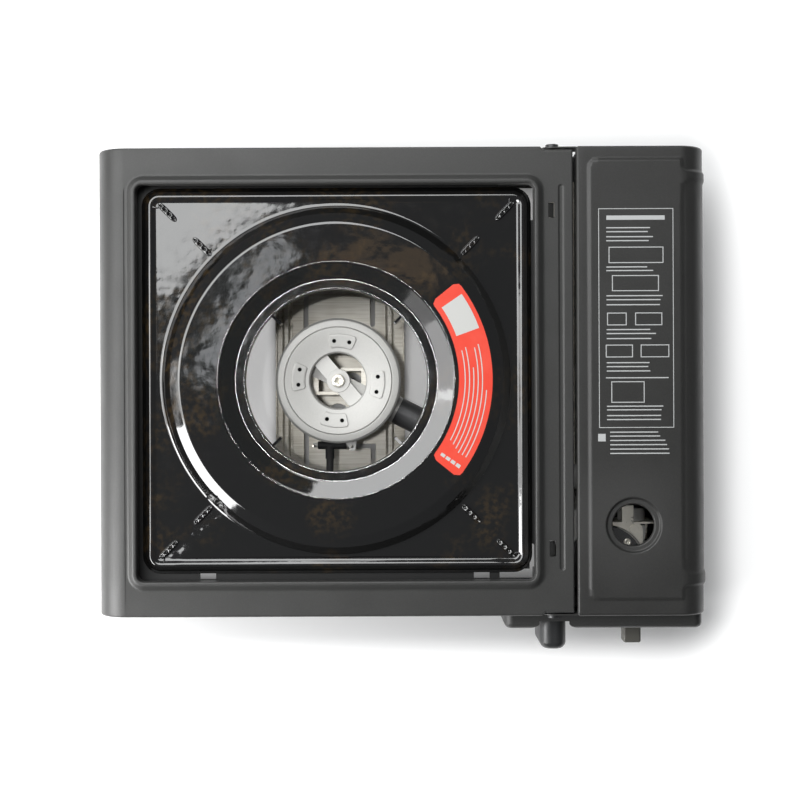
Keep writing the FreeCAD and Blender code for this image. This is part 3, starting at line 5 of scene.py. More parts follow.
import bmesh
import bpy
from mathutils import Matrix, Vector


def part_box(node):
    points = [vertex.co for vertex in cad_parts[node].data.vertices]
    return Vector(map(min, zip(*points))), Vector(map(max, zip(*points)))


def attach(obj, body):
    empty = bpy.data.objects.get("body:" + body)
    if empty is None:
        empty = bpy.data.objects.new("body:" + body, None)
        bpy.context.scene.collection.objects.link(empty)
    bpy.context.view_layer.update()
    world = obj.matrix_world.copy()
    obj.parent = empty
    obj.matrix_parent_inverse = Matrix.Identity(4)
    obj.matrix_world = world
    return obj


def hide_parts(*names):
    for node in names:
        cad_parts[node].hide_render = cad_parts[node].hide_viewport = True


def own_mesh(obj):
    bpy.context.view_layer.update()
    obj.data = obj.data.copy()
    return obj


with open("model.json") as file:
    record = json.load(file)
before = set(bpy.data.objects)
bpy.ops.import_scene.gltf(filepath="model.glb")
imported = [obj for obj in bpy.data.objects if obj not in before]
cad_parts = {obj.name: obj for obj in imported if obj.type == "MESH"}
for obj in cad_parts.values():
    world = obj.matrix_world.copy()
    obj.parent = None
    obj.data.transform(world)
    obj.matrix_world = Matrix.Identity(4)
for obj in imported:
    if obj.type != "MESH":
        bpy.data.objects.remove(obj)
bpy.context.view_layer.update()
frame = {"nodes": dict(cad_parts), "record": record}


# Studio.
# The camera looks straight down from arm's length on a white table. A soft box at the upper left, lower lamps at
# the left and a dim room with a strip of warm wood light the stove, and three narrow spots its burner and window.
class Value:
    """A socket of a node tree. Arithmetic on it adds Math nodes, and node() adds any other node."""

    def __init__(self, tree, socket=None):
        self.tree = tree
        self.socket = socket

    def node(self, kind, sockets, output=0, **settings):
        made = self.tree.nodes.new(kind)
        for name, setting in settings.items():
            setattr(made, name, setting)
        for name, value in sockets.items():
            if isinstance(value, Value):
                self.tree.links.new(value.socket, made.inputs[name])
            else:
                made.inputs[name].default_value = value
        return Value(self.tree, made.outputs[output])

    def maths(self, operation, *others):
        return self.node("ShaderNodeMath", dict(enumerate((self, *others))), operation=operation)

    def __add__(self, other):
        return self.maths("ADD", other)

    def __sub__(self, other):
        return self.maths("SUBTRACT", other)

    def __mul__(self, other):
        return self.maths("MULTIPLY", other)

    def __rsub__(self, other):
        return self.node("ShaderNodeMath", {0: other, 1: self}, operation="SUBTRACT")

    __radd__ = __add__
    __rmul__ = __mul__

    def fade(self, start, end):
        """0 up to start and 1 from end on, with a soft change between."""
        sockets = {"Value": self, "From Min": start, "From Max": end}
        return self.node("ShaderNodeMapRange", sockets, interpolation_type="SMOOTHSTEP")

    def parts(self):
        """The x, y and z of a vector."""
        return [self.node("ShaderNodeSeparateXYZ", {"Vector": self}, axis) for axis in range(3)]

    def mix(self, first, second):
        """A colour between two, with this value as the share of the second."""
        sockets = {0: self, 6: first, 7: second}
        return self.node("ShaderNodeMix", sockets, 2, data_type="RGBA")


scene = bpy.context.scene
scene.view_settings.view_transform = "Standard"
camera = bpy.data.objects.new("camera", bpy.data.cameras.new("camera"))
camera.location = (-0.0011, -0.0002, 0.834)
camera.rotation_euler = (0, 0, -math.radians(0.25))
camera.data.sensor_fit = "HORIZONTAL"
camera.data.angle = math.radians(33.1)
scene.collection.objects.link(camera)
scene.camera = camera


def lamp_from(name, kind, target, azimuth, polar, away, power, colour=(1, 1, 1)):
    """A lamp that shines on the target from a direction in degrees, azimuth from +X and polar from straight up."""
    lamp = bpy.data.objects.new(name, bpy.data.lights.new(name, kind))
    lamp.data.energy = power
    lamp.data.color = colour
    turn, lean = math.radians(azimuth), math.radians(polar)
    ahead = Vector((math.sin(lean) * math.cos(turn), math.sin(lean) * math.sin(turn), math.cos(lean)))
    lamp.location = Vector(target) + ahead * away
    lamp.rotation_euler = ahead.to_track_quat("Z", "Y").to_euler()
    scene.collection.objects.link(lamp)
    return lamp.data


lit_point = (-0.03, 0.01, 0.08)
for name, azimuth, polar, away, width, height, power, colour in (
        ("soft_box", 129, 37, 1.50, 2.05, 1.32, 31, (0.99, 1.0, 1.0)),
        ("soft_streak", 149, 10.0, 1.70, 0.27, 0.06, 0.09, (0.94, 0.97, 1.0)),
        ("low_box", 211, 68, 0.52, 0.30, 0.26, 2.3, (1, 1, 1)),
        ("left_wall", 188, 58, 0.90, 0.50, 0.56, 1.5, (1, 1, 1)),
        ("left_fade", 196, 58, 0.92, 0.74, 0.60, 1.3, (1, 1, 1)),
        ("wood_overhead", 90, 8.0, 1.60, 0.20, 0.07, 0.014, (1.0, 0.66, 0.34))):
    lamp = lamp_from(name, "AREA", lit_point, azimuth, polar, away, power, colour)
    lamp.shape = "RECTANGLE"
    lamp.size = width
    lamp.size_y = height

spot_away = 0.9
for name, target, azimuth, polar, reach, power in (
        ("burner_spot", (-0.0365, 0.011, 0.070), 163, 2.8, 0.047, 6.8),
        ("burner_side", (-0.0365, 0.011, 0.066), 142, 18, 0.043, 1.3),
        ("window_spot", (0.1287, -0.0704, 0.072), 142, 9, 0.013, 20)):
    lamp = lamp_from(name, "SPOT", target, azimuth, polar, spot_away, power)
    lamp.spot_size = 2 * math.atan(reach / spot_away)
    lamp.spot_blend = 0.15
    lamp.shadow_soft_size = 0.03

world = bpy.data.worlds.new("room")
world.use_nodes = True
scene.world = world
world.node_tree.nodes["Background"].inputs["Color"].default_value = (0.116, 0.119, 0.123, 1)

floor_mesh = bpy.data.meshes.new("table")
floor_half = 2.5
floor_mesh.from_pydata([(-floor_half, -floor_half, 0), (floor_half, -floor_half, 0), (floor_half, floor_half, 0),
                        (-floor_half, floor_half, 0)], [], [(0, 1, 2, 3)])
table = bpy.data.objects.new("table", floor_mesh)
scene.collection.objects.link(table)
table_white = bpy.data.materials.new("table_white")
table_white.use_nodes = True
table_tree = table_white.node_tree
paper = Value(table_tree)
table_shader = table_tree.nodes["Principled BSDF"]
table_shader.inputs["Base Color"].default_value = (0.88, 0.88, 0.88, 1)
table_shader.inputs["Roughness"].default_value = 0.9
table_shader.inputs["Specular IOR Level"].default_value = 0.0
across, along, _ = paper.node("ShaderNodeTexCoord", {}, "Object").parts()
# Painted light: the floor under the stove, on both sides of the base strip, gets more glow than it would have in the
# stove's shade.
base_half_x, base_half_y, base_y = 0.155, 0.115, 0.01
strip_x = -0.0377
beyond = along - base_y
beyond = (across.maths("ABSOLUTE") - base_half_x).maths("MAXIMUM", beyond.maths("ABSOLUTE") - base_half_y)
under = beyond.fade(0.012, -0.004) * (across - strip_x).maths("ABSOLUTE").fade(0.036, 0.046)
seen = paper.node("ShaderNodeLightPath", {}, "Is Camera Ray")
seen = seen.maths("MAXIMUM", paper.node("ShaderNodeLightPath", {}, "Is Glossy Ray"))
seen = seen.maths("MAXIMUM", paper.node("ShaderNodeLightPath", {}, "Is Transmission Ray"))
# Painted shadow: the table's glow drops close round the stove's outline, most in front of it. Farther out the table
# glows evenly white.
stove_half_x, stove_half_y, stove_y = 0.1715, 0.134, 0.006
gap = (across.maths("ABSOLUTE") - stove_half_x).maths("MAXIMUM", 0.0)
aside = ((along - stove_y).maths("ABSOLUTE") - stove_half_y).maths("MAXIMUM", 0.0)
gap = (gap * gap + aside * aside).maths("SQRT")
ahead = along.fade(-0.120, -0.135) * gap.fade(0.034, 0.014)
outside = gap.fade(0.0, 0.0005) * (0.13 - ahead * 0.12) + gap.fade(0.016, 0.042) * 0.47
# The painted light under the stove is stronger towards the left.
under = under * (across.fade(0.02, -0.09) * 0.20 + 0.25)
# The table's emission: even white away from the stove, with the painted light under it and the painted shadow round
# it.
white_floor_painted_light_and_shadow = (seen * (under + outside)).mix((0, 0, 0, 1), (1, 1, 1, 1))
table_tree.links.new(white_floor_painted_light_and_shadow.socket, table_shader.inputs["Emission Color"])
table_shader.inputs["Emission Strength"].default_value = 1.0
floor_mesh.materials.append(table_white)


# Casing.
# One folded sheet of 0.8 mm steel under dark grey satin paint: a large bend at the left, sharp folds at the
# front and rear, low walls round the cartridge bay, and a rim pressed up round the burner's opening.
class Coating:
    """A paint, plating or plastic: its shader, and patterns laid out on Object coordinates in metres."""

    def __init__(self, name, colour, roughness, **constants):
        self.material = bpy.data.materials.new(name)
        self.material.use_nodes = True
        self.tree = self.material.node_tree
        self.shader = self.tree.nodes["Principled BSDF"]
        self.colour = (*colour, 1)
        self.shader.inputs["Base Color"].default_value = self.colour
        self.shader.inputs["Roughness"].default_value = roughness
        for socket, value in constants.items():
            self.shader.inputs[socket.replace("_", " ").title()].default_value = value
        self.place = Value(self.tree).node("ShaderNodeTexCoord", {}, "Object")
        self.height = None

    def noise(self, size, detail=2.0, stretch=None):
        place = self.place
        if stretch:
            place = place.node("ShaderNodeMapping", {"Vector": place, "Scale": stretch})
        return place.node("ShaderNodeTexNoise", {"Vector": place, "Scale": 1 / size, "Detail": detail}, "Fac")

    def tint(self, share, colour):
        """Mixes the base colour with another by the share, which varies over the surface."""
        self.drive("Base Color", share.mix(self.colour, (*colour, 1)))

    def drive(self, socket, value):
        self.tree.links.new(value.socket, self.shader.inputs[socket])

    def relief(self, height, depth):
        """Raises the surface by height, a value from 0 to 1, times depth in metres."""
        sockets = {"Height": height, "Distance": depth, "Strength": 1.0}
        if self.height:
            sockets["Normal"] = self.height
        self.height = height.node("ShaderNodeBump", sockets)
        self.drive("Normal", self.height)


def satin_paint(name, colour):
    paint = Coating(name, colour, 0.42)
    grain = paint.noise(0.00055, 3.0)
    paint.relief(grain, 0.000035)
    paint.relief(paint.noise(0.006), 0.00002)
    paint.tint((grain.fade(0.35, 0.75) * 0.55), [share * 1.45 for share in colour])
    paint.drive("Roughness", paint.noise(0.02, 4.0).fade(0.2, 0.8) * 0.10 + 0.38)
    return paint


def rounded(corners, steps, closed=False):
    """Points of a line through corners (x, y, radius), each rounded by an arc of that many steps."""
    points = []
    for number, (x, y, radius) in enumerate(corners):
        corner = Vector((x, y))
        if radius == 0 or not closed and number in (0, len(corners) - 1):
            points.append(corner)
            continue
        back = (Vector(corners[number - 1][:2]) - corner).normalized()
        onward = (Vector(corners[(number + 1) % len(corners)][:2]) - corner).normalized()
        half = back.angle(onward) / 2
        centre = corner + (back + onward).normalized() * (radius / math.sin(half))
        start = corner + back * (radius / math.tan(half)) - centre
        sweep = math.copysign(math.pi - 2 * half, back.x * onward.y - back.y * onward.x) * -1
        for step in range(steps + 1):
            angle = sweep * step / steps
            points.append(centre + Vector((start.x * math.cos(angle) - start.y * math.sin(angle),
                                           start.x * math.sin(angle) + start.y * math.cos(angle))))
    return points


def plate_outline(x, y, width, depth, corner, steps=6):
    """A rounded rectangle round (x, y), anticlockwise."""
    w, d = width / 2, depth / 2
    return rounded([(x + w, y - d, corner), (x + w, y + d, corner), (x - w, y + d, corner),
                    (x - w, y - d, corner)], steps, closed=True)


def ring_outline(x, y, radius, count):
    turns = [2 * math.pi * number / count for number in range(count)]
    return [(x + radius * math.cos(turn), y + radius * math.sin(turn)) for turn in turns]


class Pressing:
    """Sheet metal in the making, in millimetres: rows of points, strips between rows, flat faces with holes."""

    def __init__(self, name):
        self.name = name
        self.mesh = bmesh.new()

    def row(self, points, height=None):
        if height is not None:
            points = [(*point, height) for point in points]
        return [self.mesh.verts.new(Vector(point) * 0.001) for point in points]

    def strip(self, first, second, closed=True):
        for number in range(len(first) if closed else len(first) - 1):
            after = (number + 1) % len(first)
            corners = (first[number], first[after], second[after], second[number])
            if len({corner.co.to_tuple(7) for corner in corners}) > 2:
                self.mesh.faces.new(corners)

    def stack(self, rows, closed=True):
        for first, second in zip(rows, rows[1:]):
            self.strip(first, second, closed)

    def flat(self, *loops):
        edges = []
        for loop in loops:
            for start, end in zip(loop, loop[1:] + loop[:1]):
                edges.append(self.mesh.edges.get((start, end)) or self.mesh.edges.new((start, end)))
        bmesh.ops.triangle_fill(self.mesh, edges=edges, use_beauty=True)

    def made(self, coating, thickness=0.0, soften=0.0, upward=True):
        """The finished mesh object; thickness goes inwards from the faces, whose highest one looks up."""
        bmesh.ops.remove_doubles(self.mesh, verts=self.mesh.verts, dist=1e-6)
        bmesh.ops.recalc_face_normals(self.mesh, faces=self.mesh.faces)
        highest = max(self.mesh.faces, key=lambda face: (round(face.calc_center_median().z, 5),
                                                         face.calc_area()))
        if upward and highest.normal.z < 0:
            bmesh.ops.reverse_faces(self.mesh, faces=self.mesh.faces)
        mesh = bpy.data.meshes.new(self.name)
        self.mesh.to_mesh(mesh)
        self.mesh.free()
        piece = bpy.data.objects.new(self.name, mesh)
        scene.collection.objects.link(piece)
        if thickness:
            wall = piece.modifiers.new("wall", "SOLIDIFY")
            wall.thickness = thickness * 0.001
            wall.offset = -1
        return settle(piece, coating, soften)


def settle(piece, coating, soften=0.0):
    """Applies the piece's modifiers, rounds its edges by a radius in millimetres and gives it its coating."""
    if soften:
        bevel = piece.modifiers.new("edges", "BEVEL")
        bevel.width = soften * 0.001
        bevel.segments = 2
        bevel.limit_method = "ANGLE"
        bevel.angle_limit = math.radians(32)
        bevel.use_clamp_overlap = True
        bevel.harden_normals = False
    evaluated = piece.evaluated_get(bpy.context.evaluated_depsgraph_get())
    mesh = bpy.data.meshes.new_from_object(evaluated)
    piece.modifiers.clear()
    piece.data = mesh
    mesh.name = piece.name
    mesh.materials.clear()
    mesh.materials.append(coating.material)
    mesh.shade_smooth()
    mesh.set_sharp_from_angle(angle=math.radians(38))
    piece.modifiers.new("even_shading", "WEIGHTED_NORMAL").keep_sharp = True
    return piece


body_of = {node: body for body, nodes in frame["record"]["behaviour"]["bodies"].items() for node in nodes}


def stand_for(piece, *nodes):
    """The piece takes the place of CAD nodes and moves with the first one's body."""
    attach(piece, body_of[nodes[0]])
    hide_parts(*nodes)
    return piece


def corners_of(node):
    """The lowest and highest corner of a CAD node in millimetres."""
    return [corner * 1000 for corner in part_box(node)]


casing_low, casing_high = corners_of("body_shell")
lid_low, lid_high = corners_of("canister_lid")
pan_low, pan_high = corners_of("drip_pan")
left, front, foot = casing_low
bay_right, rear, rim_top = casing_high
sheet = 0.8
rim_height = 2.5
casing_top = rim_top - rim_height
lid_width, lid_gap = 74.0, 1.7
lid_left = lid_high.x - lid_width
casing_right = lid_left - lid_gap
side_bend, fold, joggle = 17.0, 1.4, 1.8
hinge_x, hinge_z = 85.0, 76.0
joggle_x = hinge_x - 6.5
low_wall = 60.0
opening = (-36.9, 9.7, 221.9, 221.0)
casing = Pressing("casing_sheet")


def fold_rows(radius, start, end, steps=4):
    """(y, inset) of the rows across a fold at the front and a like one at the rear."""
    rows = []
    for step in range(steps + 1):
        angle = math.pi / 2 * step / steps
        rows.append((start + radius * (1 - math.cos(angle)), radius * (1 - math.sin(angle))))
    return rows + [(start + end - y, inset) for y, inset in reversed(rows)]


def casing_section(inset):
    """(x, z, share of the joggle) along the casing's section from the left foot to the right flange."""
    points = [(left + inset, foot, 0), (left + inset, casing_top - side_bend, 0)]
    for step in range(1, 11):
        angle = math.radians(9 * step)
        radius = side_bend - inset
        points.append((left + side_bend - radius * math.cos(angle),
                       casing_top - side_bend + radius * math.sin(angle), 0))
    for step in range(7):
        share = step / 6
        points.append((joggle_x - 1.2 + 2.4 * share, casing_top - inset, share * share * (3 - 2 * share)))
    roll, flange = 1.0, 7
    for step in range(5):
        angle = math.radians(22.5 * step)
        points.append((casing_right - roll + roll * math.sin(angle),
                       casing_top - inset - roll + roll * math.cos(angle), 1))
    return points + [(casing_right, casing_top - flange, 1)]


grid = []
middle = (front + rear) / 2
for y, inset in fold_rows(fold, front, rear):
    inward = joggle if y < middle else -joggle
    grid.append(casing.row([(x, y + inward * share, z) for x, z, share in casing_section(inset)]))
flat_start, joggle_start, joggle_end, flat_end = 11, 12, 18, 19
half = len(grid) // 2
for number, (first, second) in enumerate(zip(grid, grid[1:])):
    if number != half - 1:
        casing.strip(first, second, closed=False)
    else:
        casing.strip(first[:flat_start + 1], second[:flat_start + 1], closed=False)
        casing.strip(first[flat_end:], second[flat_end:], closed=False)
rim_section = rounded([(7.0, casing_top, 0), (5.05, casing_top, 2.4), (2.2, rim_top, 1.7), (0, rim_top, 1.0),
                       (0, casing_top - 4, 0)], 5)
rim_rows = [casing.row(plate_outline(*opening[:2], opening[2] + 2 * out, opening[3] + 2 * out, 4 + out), z)
            for out, z in rim_section]
casing.stack(rim_rows)
groove_section = rounded([(0, casing_top, 0), (1.3, casing_top, 0.8), (2.1, casing_top - 0.6, 0.7),
                          (2.7, casing_top - 0.6, 0)], 3)
groove = (89.1, 12.0, 5.8, 218.0)
groove_rows = [casing.row(plate_outline(*groove[:2], groove[2] - 2 * inn, groove[3] - 2 * inn, 2.88 - inn), z)
               for inn, z in groove_section]
casing.stack(groove_rows)
casing.flat(groove_rows[-1])
slot_x, slot_ys, slot_size = 83.7, (105.4, -83.4), (3.6, 8.8)
slots = [casing.row(plate_outline(slot_x, y, *slot_size, 0.6, 2), casing_top) for y in slot_ys]
casing.flat(grid[half - 1][flat_start:flat_end + 1] + grid[half][flat_start:flat_end + 1][::-1],
            rim_rows[0], groove_rows[0], *slots)
tongue = [(82.0, casing_top - 0.2), (83.2, casing_top - 0.9), (85.2, casing_top - 2.2)]
tongue_half = 4.1
for y in slot_ys:
    casing.stack([casing.row([(x, y - tongue_half, z), (x, y + tongue_half, z)]) for x, z in tongue], closed=False)

stem_x, stem_z, stem_hole = 86.0, 47.0, 4.5
lever_x = 132.9
bay_corner = 2
far = bay_right - bay_corner
feet_rows = []
for row, wall, flat_wall in ((grid[0], front, front + joggle), (grid[-1], rear, rear - joggle)):
    feet_row = casing.row([(vertex.co.x * 1000, vertex.co.y * 1000, foot)
                           for vertex in row[joggle_start:joggle_end + 1]])
    casing.strip(row[joggle_start:joggle_end + 1], feet_row, closed=False)
    casing.flat(row[:joggle_start + 1] + feet_row[:1])
    ends = casing.row([(casing_right, flat_wall, low_wall), (far, flat_wall, low_wall), (far, flat_wall, foot)])
    holes = []
    if wall == front:
        holes.append(casing.row([(x, flat_wall, z) for x, z in ring_outline(stem_x, stem_z, stem_hole, 20)]))
        holes.append(casing.row([(x, flat_wall, z) for x, z in plate_outline(lever_x, 26, 6, 28, 0.6, 2)]))
    casing.flat(row[joggle_end:] + ends + feet_row[-1:], *holes)
    feet_rows.append((feet_row, ends))
corner_rows = []
for z in (low_wall, foot):
    turns = [math.radians(step * 18) for step in range(6)]
    points = [(far + bay_corner * math.sin(turn), front + joggle + bay_corner - bay_corner * math.cos(turn))
              for turn in turns]
    points += [(x, front + rear - y) for x, y in reversed(points)]
    corner_rows.append(casing.row(points, z))
casing.strip(*corner_rows, closed=False)
hem_aside, hem_sides, hem_ends, hem_corner = 4, 16, 22, 4
hem = casing.row(plate_outline((left + far) / 2 + hem_aside, middle, far - left - hem_sides, rear - front - hem_ends,
                               hem_corner, 3), foot)
outline = [row[0] for row in grid] + feet_rows[1][0] + corner_rows[1][::-1] + feet_rows[0][0][::-1]
bmesh.ops.remove_doubles(casing.mesh, verts=corner_rows[1] + [feet_rows[0][1][2], feet_rows[1][1][2]], dist=1e-6)
casing.flat([vertex for vertex in outline if vertex.is_valid], hem)
casing_paint = satin_paint("casing_paint", (0.039, 0.039, 0.0378))
stand_for(casing.made(casing_paint, thickness=sheet), "body_shell")


# Feet, base strip and bracket.
# Four moulded rubber feet, a galvanised strip folded across the underside with four cross-head screws in it,
# and the bent bracket that holds the burner up.
def repeated(node, form, places, coating, facing=(0, 0, 0), seed=1, turn=math.pi, ending="_set"):
    """Copies of a form at the places (x, y, z and its own size along each axis), in place of a CAD node."""
    spots = bpy.data.meshes.new(node + "_places")
    spots.from_pydata([tuple(value * 0.001 for value in place[:3]) for place in places], [], [])
    sizes = spots.attributes.new("size", "FLOAT_VECTOR", "POINT")
    for number, place in enumerate(places):
        sizes.data[number].vector = place[3:] or (1, 1, 1)
    piece = bpy.data.objects.new(node + ending, spots)
    scene.collection.objects.link(piece)
    tree = bpy.data.node_groups.new(node + ending + "_layout", "GeometryNodeTree")
    inputs = (("Places", "Geometry", None), ("Form", "Object", form), ("Facing", "Vector", facing),
              ("Turn", "Float", turn), ("Seed", "Int", seed), ("Coating", "Material", coating.material))
    layout = piece.modifiers.new("layout", "NODES")
    layout.node_group = tree
    start = tree.nodes.new("NodeGroupInput")
    for title, kind, value in inputs:
        socket = tree.interface.new_socket(title, in_out="INPUT", socket_type="NodeSocket" + kind)
        if value is not None:
            layout[socket.identifier] = value
    tree.interface.new_socket("Pieces", in_out="OUTPUT", socket_type="NodeSocketGeometry")
    given = {title: Value(tree, start.outputs[title]) for title, _, _ in inputs}
    spot = given["Places"].node("GeometryNodeMeshToPoints", {"Mesh": given["Places"]})
    shape = spot.node("GeometryNodeObjectInfo", {"Object": given["Form"]}, "Geometry")
    chance = spot.node("FunctionNodeRandomValue", {2: 0.0, 3: given["Turn"], "Seed": given["Seed"]}, 1,
                       data_type="FLOAT")
    turn = chance.node("ShaderNodeCombineXYZ", {"Z": chance})
    size = spot.node("GeometryNodeInputNamedAttribute", {"Name": "size"}, data_type="FLOAT_VECTOR")
    placed = spot.node("GeometryNodeInstanceOnPoints",
                       {"Points": spot, "Instance": shape, "Rotation": given["Facing"], "Scale": size})
    placed = placed.node("GeometryNodeRotateInstances",
                         {"Instances": placed, "Rotation": turn, "Local Space": True})
    placed = placed.node("GeometryNodeRealizeInstances", {"Geometry": placed})
    placed = placed.node("GeometryNodeSetMaterial", {"Geometry": placed, "Material": given["Coating"]})
    tree.links.new(placed.socket, tree.nodes.new("NodeGroupOutput").inputs["Pieces"])
    settle(piece, coating)
    bpy.data.objects.remove(form)
    return stand_for(piece, node)


def screw_form(name, radius, height, coating, shank=0.0, length=0.0):
    """A pan-head screw with a cross recess, its head's underside at z 0."""
    screw = Pressing(name)
    edge = rounded([(radius, 0, 0), (radius, height, height * 0.6), (radius * 0.6, height, 0)], 4)
    rings = [screw.row(ring_outline(0, 0, out, 32), z) for out, z in edge]
    screw.stack(rings)
    arm, reach = radius * 0.13, radius * 0.55
    cross = [(reach, arm), (arm, arm), (arm, reach), (-arm, reach), (-arm, arm), (-reach, arm),
             (-reach, -arm), (-arm, -arm), (-arm, -reach), (arm, -reach), (arm, -arm), (reach, -arm)]
    upper = screw.row(cross, height)
    lower = screw.row([(x * 0.6, y * 0.6) for x, y in cross], height * 0.4)
    screw.flat(rings[-1], upper)
    screw.strip(upper, lower)
    screw.flat(lower)
    if length:
        neck = [screw.row(ring_outline(0, 0, shank, 20), z) for z in (0, -length)]
        screw.flat(rings[0], neck[0])
        screw.strip(*neck)
        screw.flat(neck[1])
    else:
        screw.flat(rings[0])
    return screw.made(coating)


nearly_flat = math.radians(0.6)


def copy_of(node, coating, soften=0.15):
    """The CAD node's own shape, its triangles merged into faces and its edges rounded."""
    form = bmesh.new()
    form.from_mesh(frame["nodes"][node].data)
    bmesh.ops.remove_doubles(form, verts=form.verts, dist=1e-6)
    bmesh.ops.dissolve_limit(form, angle_limit=nearly_flat, verts=form.verts, edges=form.edges)
    mesh = bpy.data.meshes.new(node + "_form")
    form.to_mesh(mesh)
    form.free()
    piece = bpy.data.objects.new(node + "_form", mesh)
    scene.collection.objects.link(piece)
    return stand_for(settle(piece, coating, soften), node)


rubber = Coating("rubber", (0.022, 0.022, 0.023), 0.72)
rubber.relief(rubber.noise(0.0004, 3.0), 0.00003)
plated = Coating("plated_steel", (0.78, 0.75, 0.67), 0.34, metallic=0.55)
plated.tint(plated.noise(0.009, 3.0).fade(0.45, 0.75) * 0.5, (0.60, 0.565, 0.49))
plated.drive("Roughness", plated.noise(0.006, 3.0).fade(0.3, 0.75) * 0.14 + 0.26)
plated.relief(plated.noise(0.003, 2.0), 0.000012)
galvanised = Coating("galvanised_steel", (0.86, 0.83, 0.75), 0.38, metallic=0.2)
# The fine streaks along x are rolling lines. The broad 3 cm patches, darker and more golden, are a painted
# reflection for the sheet's broad sheen.
galvanised.tint(galvanised.noise(0.0009, 2.0, (0.03, 1.0, 1.0)).fade(0.35, 0.7) * 0.45
                + galvanised.noise(0.03, 2.0).fade(0.4, 0.65) * 0.5, (0.56, 0.515, 0.42))
galvanised.relief(galvanised.noise(0.0007, 2.0, (0.03, 1.0, 1.0)), 0.00002)
foot_form = Pressing("foot_form")
foot_edge = rounded([(7.0, 4.0, 0), (7.0, 2.6, 0.4), (6.2, 0, 0.9), (3.0, 0, 0.6), (2.6, 0.9, 0)], 4)
foot_rings = [foot_form.row(ring_outline(0, 0, out, 36), z) for out, z in foot_edge]
foot_form.stack(foot_rings)
foot_form.flat(foot_rings[0])
foot_form.flat(foot_rings[-1])
feet_places = [(x, y, 0) for x in (-157.5, 155.4) for y in (-110.5, 130.5)]
repeated("feet", foot_form.made(rubber), feet_places, rubber, seed=3)
copy_of("base_strip", galvanised)
beads = Pressing("strip_beads")
bead_low, bead_high = 5.7, 8.6
for x in (-70.6, -7.2):
    bead = rounded([(x - 2.8, bead_low, 0), (x - 1.5, bead_high, 0.9), (x + 1.5, bead_high, 0.9),
                    (x + 2.8, bead_low, 0)], 4)
    ends = [beads.row([(out, y, z) for out, z in bead]) for y in (-117, 137)]
    beads.strip(*ends)
    for end in ends:
        beads.flat(end)
stand_for(beads.made(galvanised), "base_strip")
copy_of("burner_bracket", galvanised)
repeated("base_screws", screw_form("base_screw", 3.2, 1.6, plated),
         [(x, y, 5.8) for x in (-63.1, -12.3) for y in (-114.2, 134.2)], plated, seed=5)


# Pan ledge, bay tray and heat shield.
# Folded steel sheet: the ledge that the pan rests on, in dark paint painted near black as the deep shade under
# the pan's edge, the dark tray that makes the cartridge bay, and a galvanised shield between the bay and the burner.
dark_steel = Coating("dark_steel", (0.070, 0.070, 0.072), 0.40, metallic=0.55)
dark_steel.drive("Roughness", dark_steel.noise(0.008, 4.0).fade(0.3, 0.7) * 0.16 + 0.34)
dark_steel.relief(dark_steel.noise(0.0007, 3.0), 0.00002)
# Painted shade: the ledge's paint is made near black for the deep shade under the pan's edge.
ledge_paint = Coating("ledge_paint", (0.010, 0.010, 0.010), 0.5)
ledge_paint.relief(ledge_paint.noise(0.0007, 3.0), 0.00002)
copy_of("pan_ledge", ledge_paint)
copy_of("canister_tray", dark_steel)
copy_of("heat_shield", galvanised)


# Burner.
# A grit-blasted aluminium casting in two halves with four pads of two ports each, held by one plated screw, with
# the steel mixing tube, its plated air shutter and the brass jet behind it.
cast_alloy = Coating("cast_alloy", (0.415, 0.411, 0.395), 0.46, metallic=0.4)
cast_alloy.tint(cast_alloy.noise(0.0006, 4.0).fade(0.4, 0.7) * 0.35, (0.34, 0.337, 0.324))
cast_alloy.relief(cast_alloy.noise(0.00035, 3.0), 0.00004)
burner_x, burner_y = -36.5, 11.0
across, along, _ = cast_alloy.place.parts()
across, along = across - burner_x * 0.001, along - burner_y * 0.001
cast_alloy.relief((across * across + along * along).maths("SQRT").fade(0.010, 0.034), 0.0022)
brass = Coating("brass", (0.62, 0.44, 0.17), 0.28, metallic=1.0)
brass.drive("Roughness", brass.noise(0.002, 3.0).fade(0.3, 0.7) * 0.15 + 0.22)
for node, coating, soften in (("burner_base", cast_alloy, 0.25), ("burner_cap", cast_alloy, 0.25),
                              ("mixing_tube", dark_steel, 0.1),
                              ("air_shutter", plated, 0.1), ("gas_nozzle", brass, 0.12)):
    copy_of(node, coating, soften)
collar = Pressing("burner_collar")
section = rounded([(31.0, 60.8, 0), (31.15, 61.75, 0.3), (34.8, 61.3, 0.8), (36.0, 60.2, 0.4), (36.0, 53.0, 0),
                   (32.6, 53.0, 0)], 4)
rings = [collar.row(ring_outline(burner_x, burner_y, out, 128), z) for out, z in section]
collar.stack(rings + rings[:1])
stand_for(collar.made(cast_alloy), "burner_base")
pads = Pressing("burner_pads")
pad_inner, pad_middle, pad_outer = 19.4, 22.9, 26.4
pad_half_turn, port_turn = 16.6, 11
pad_top, port_floor = 62.68, 62.3
ports = []
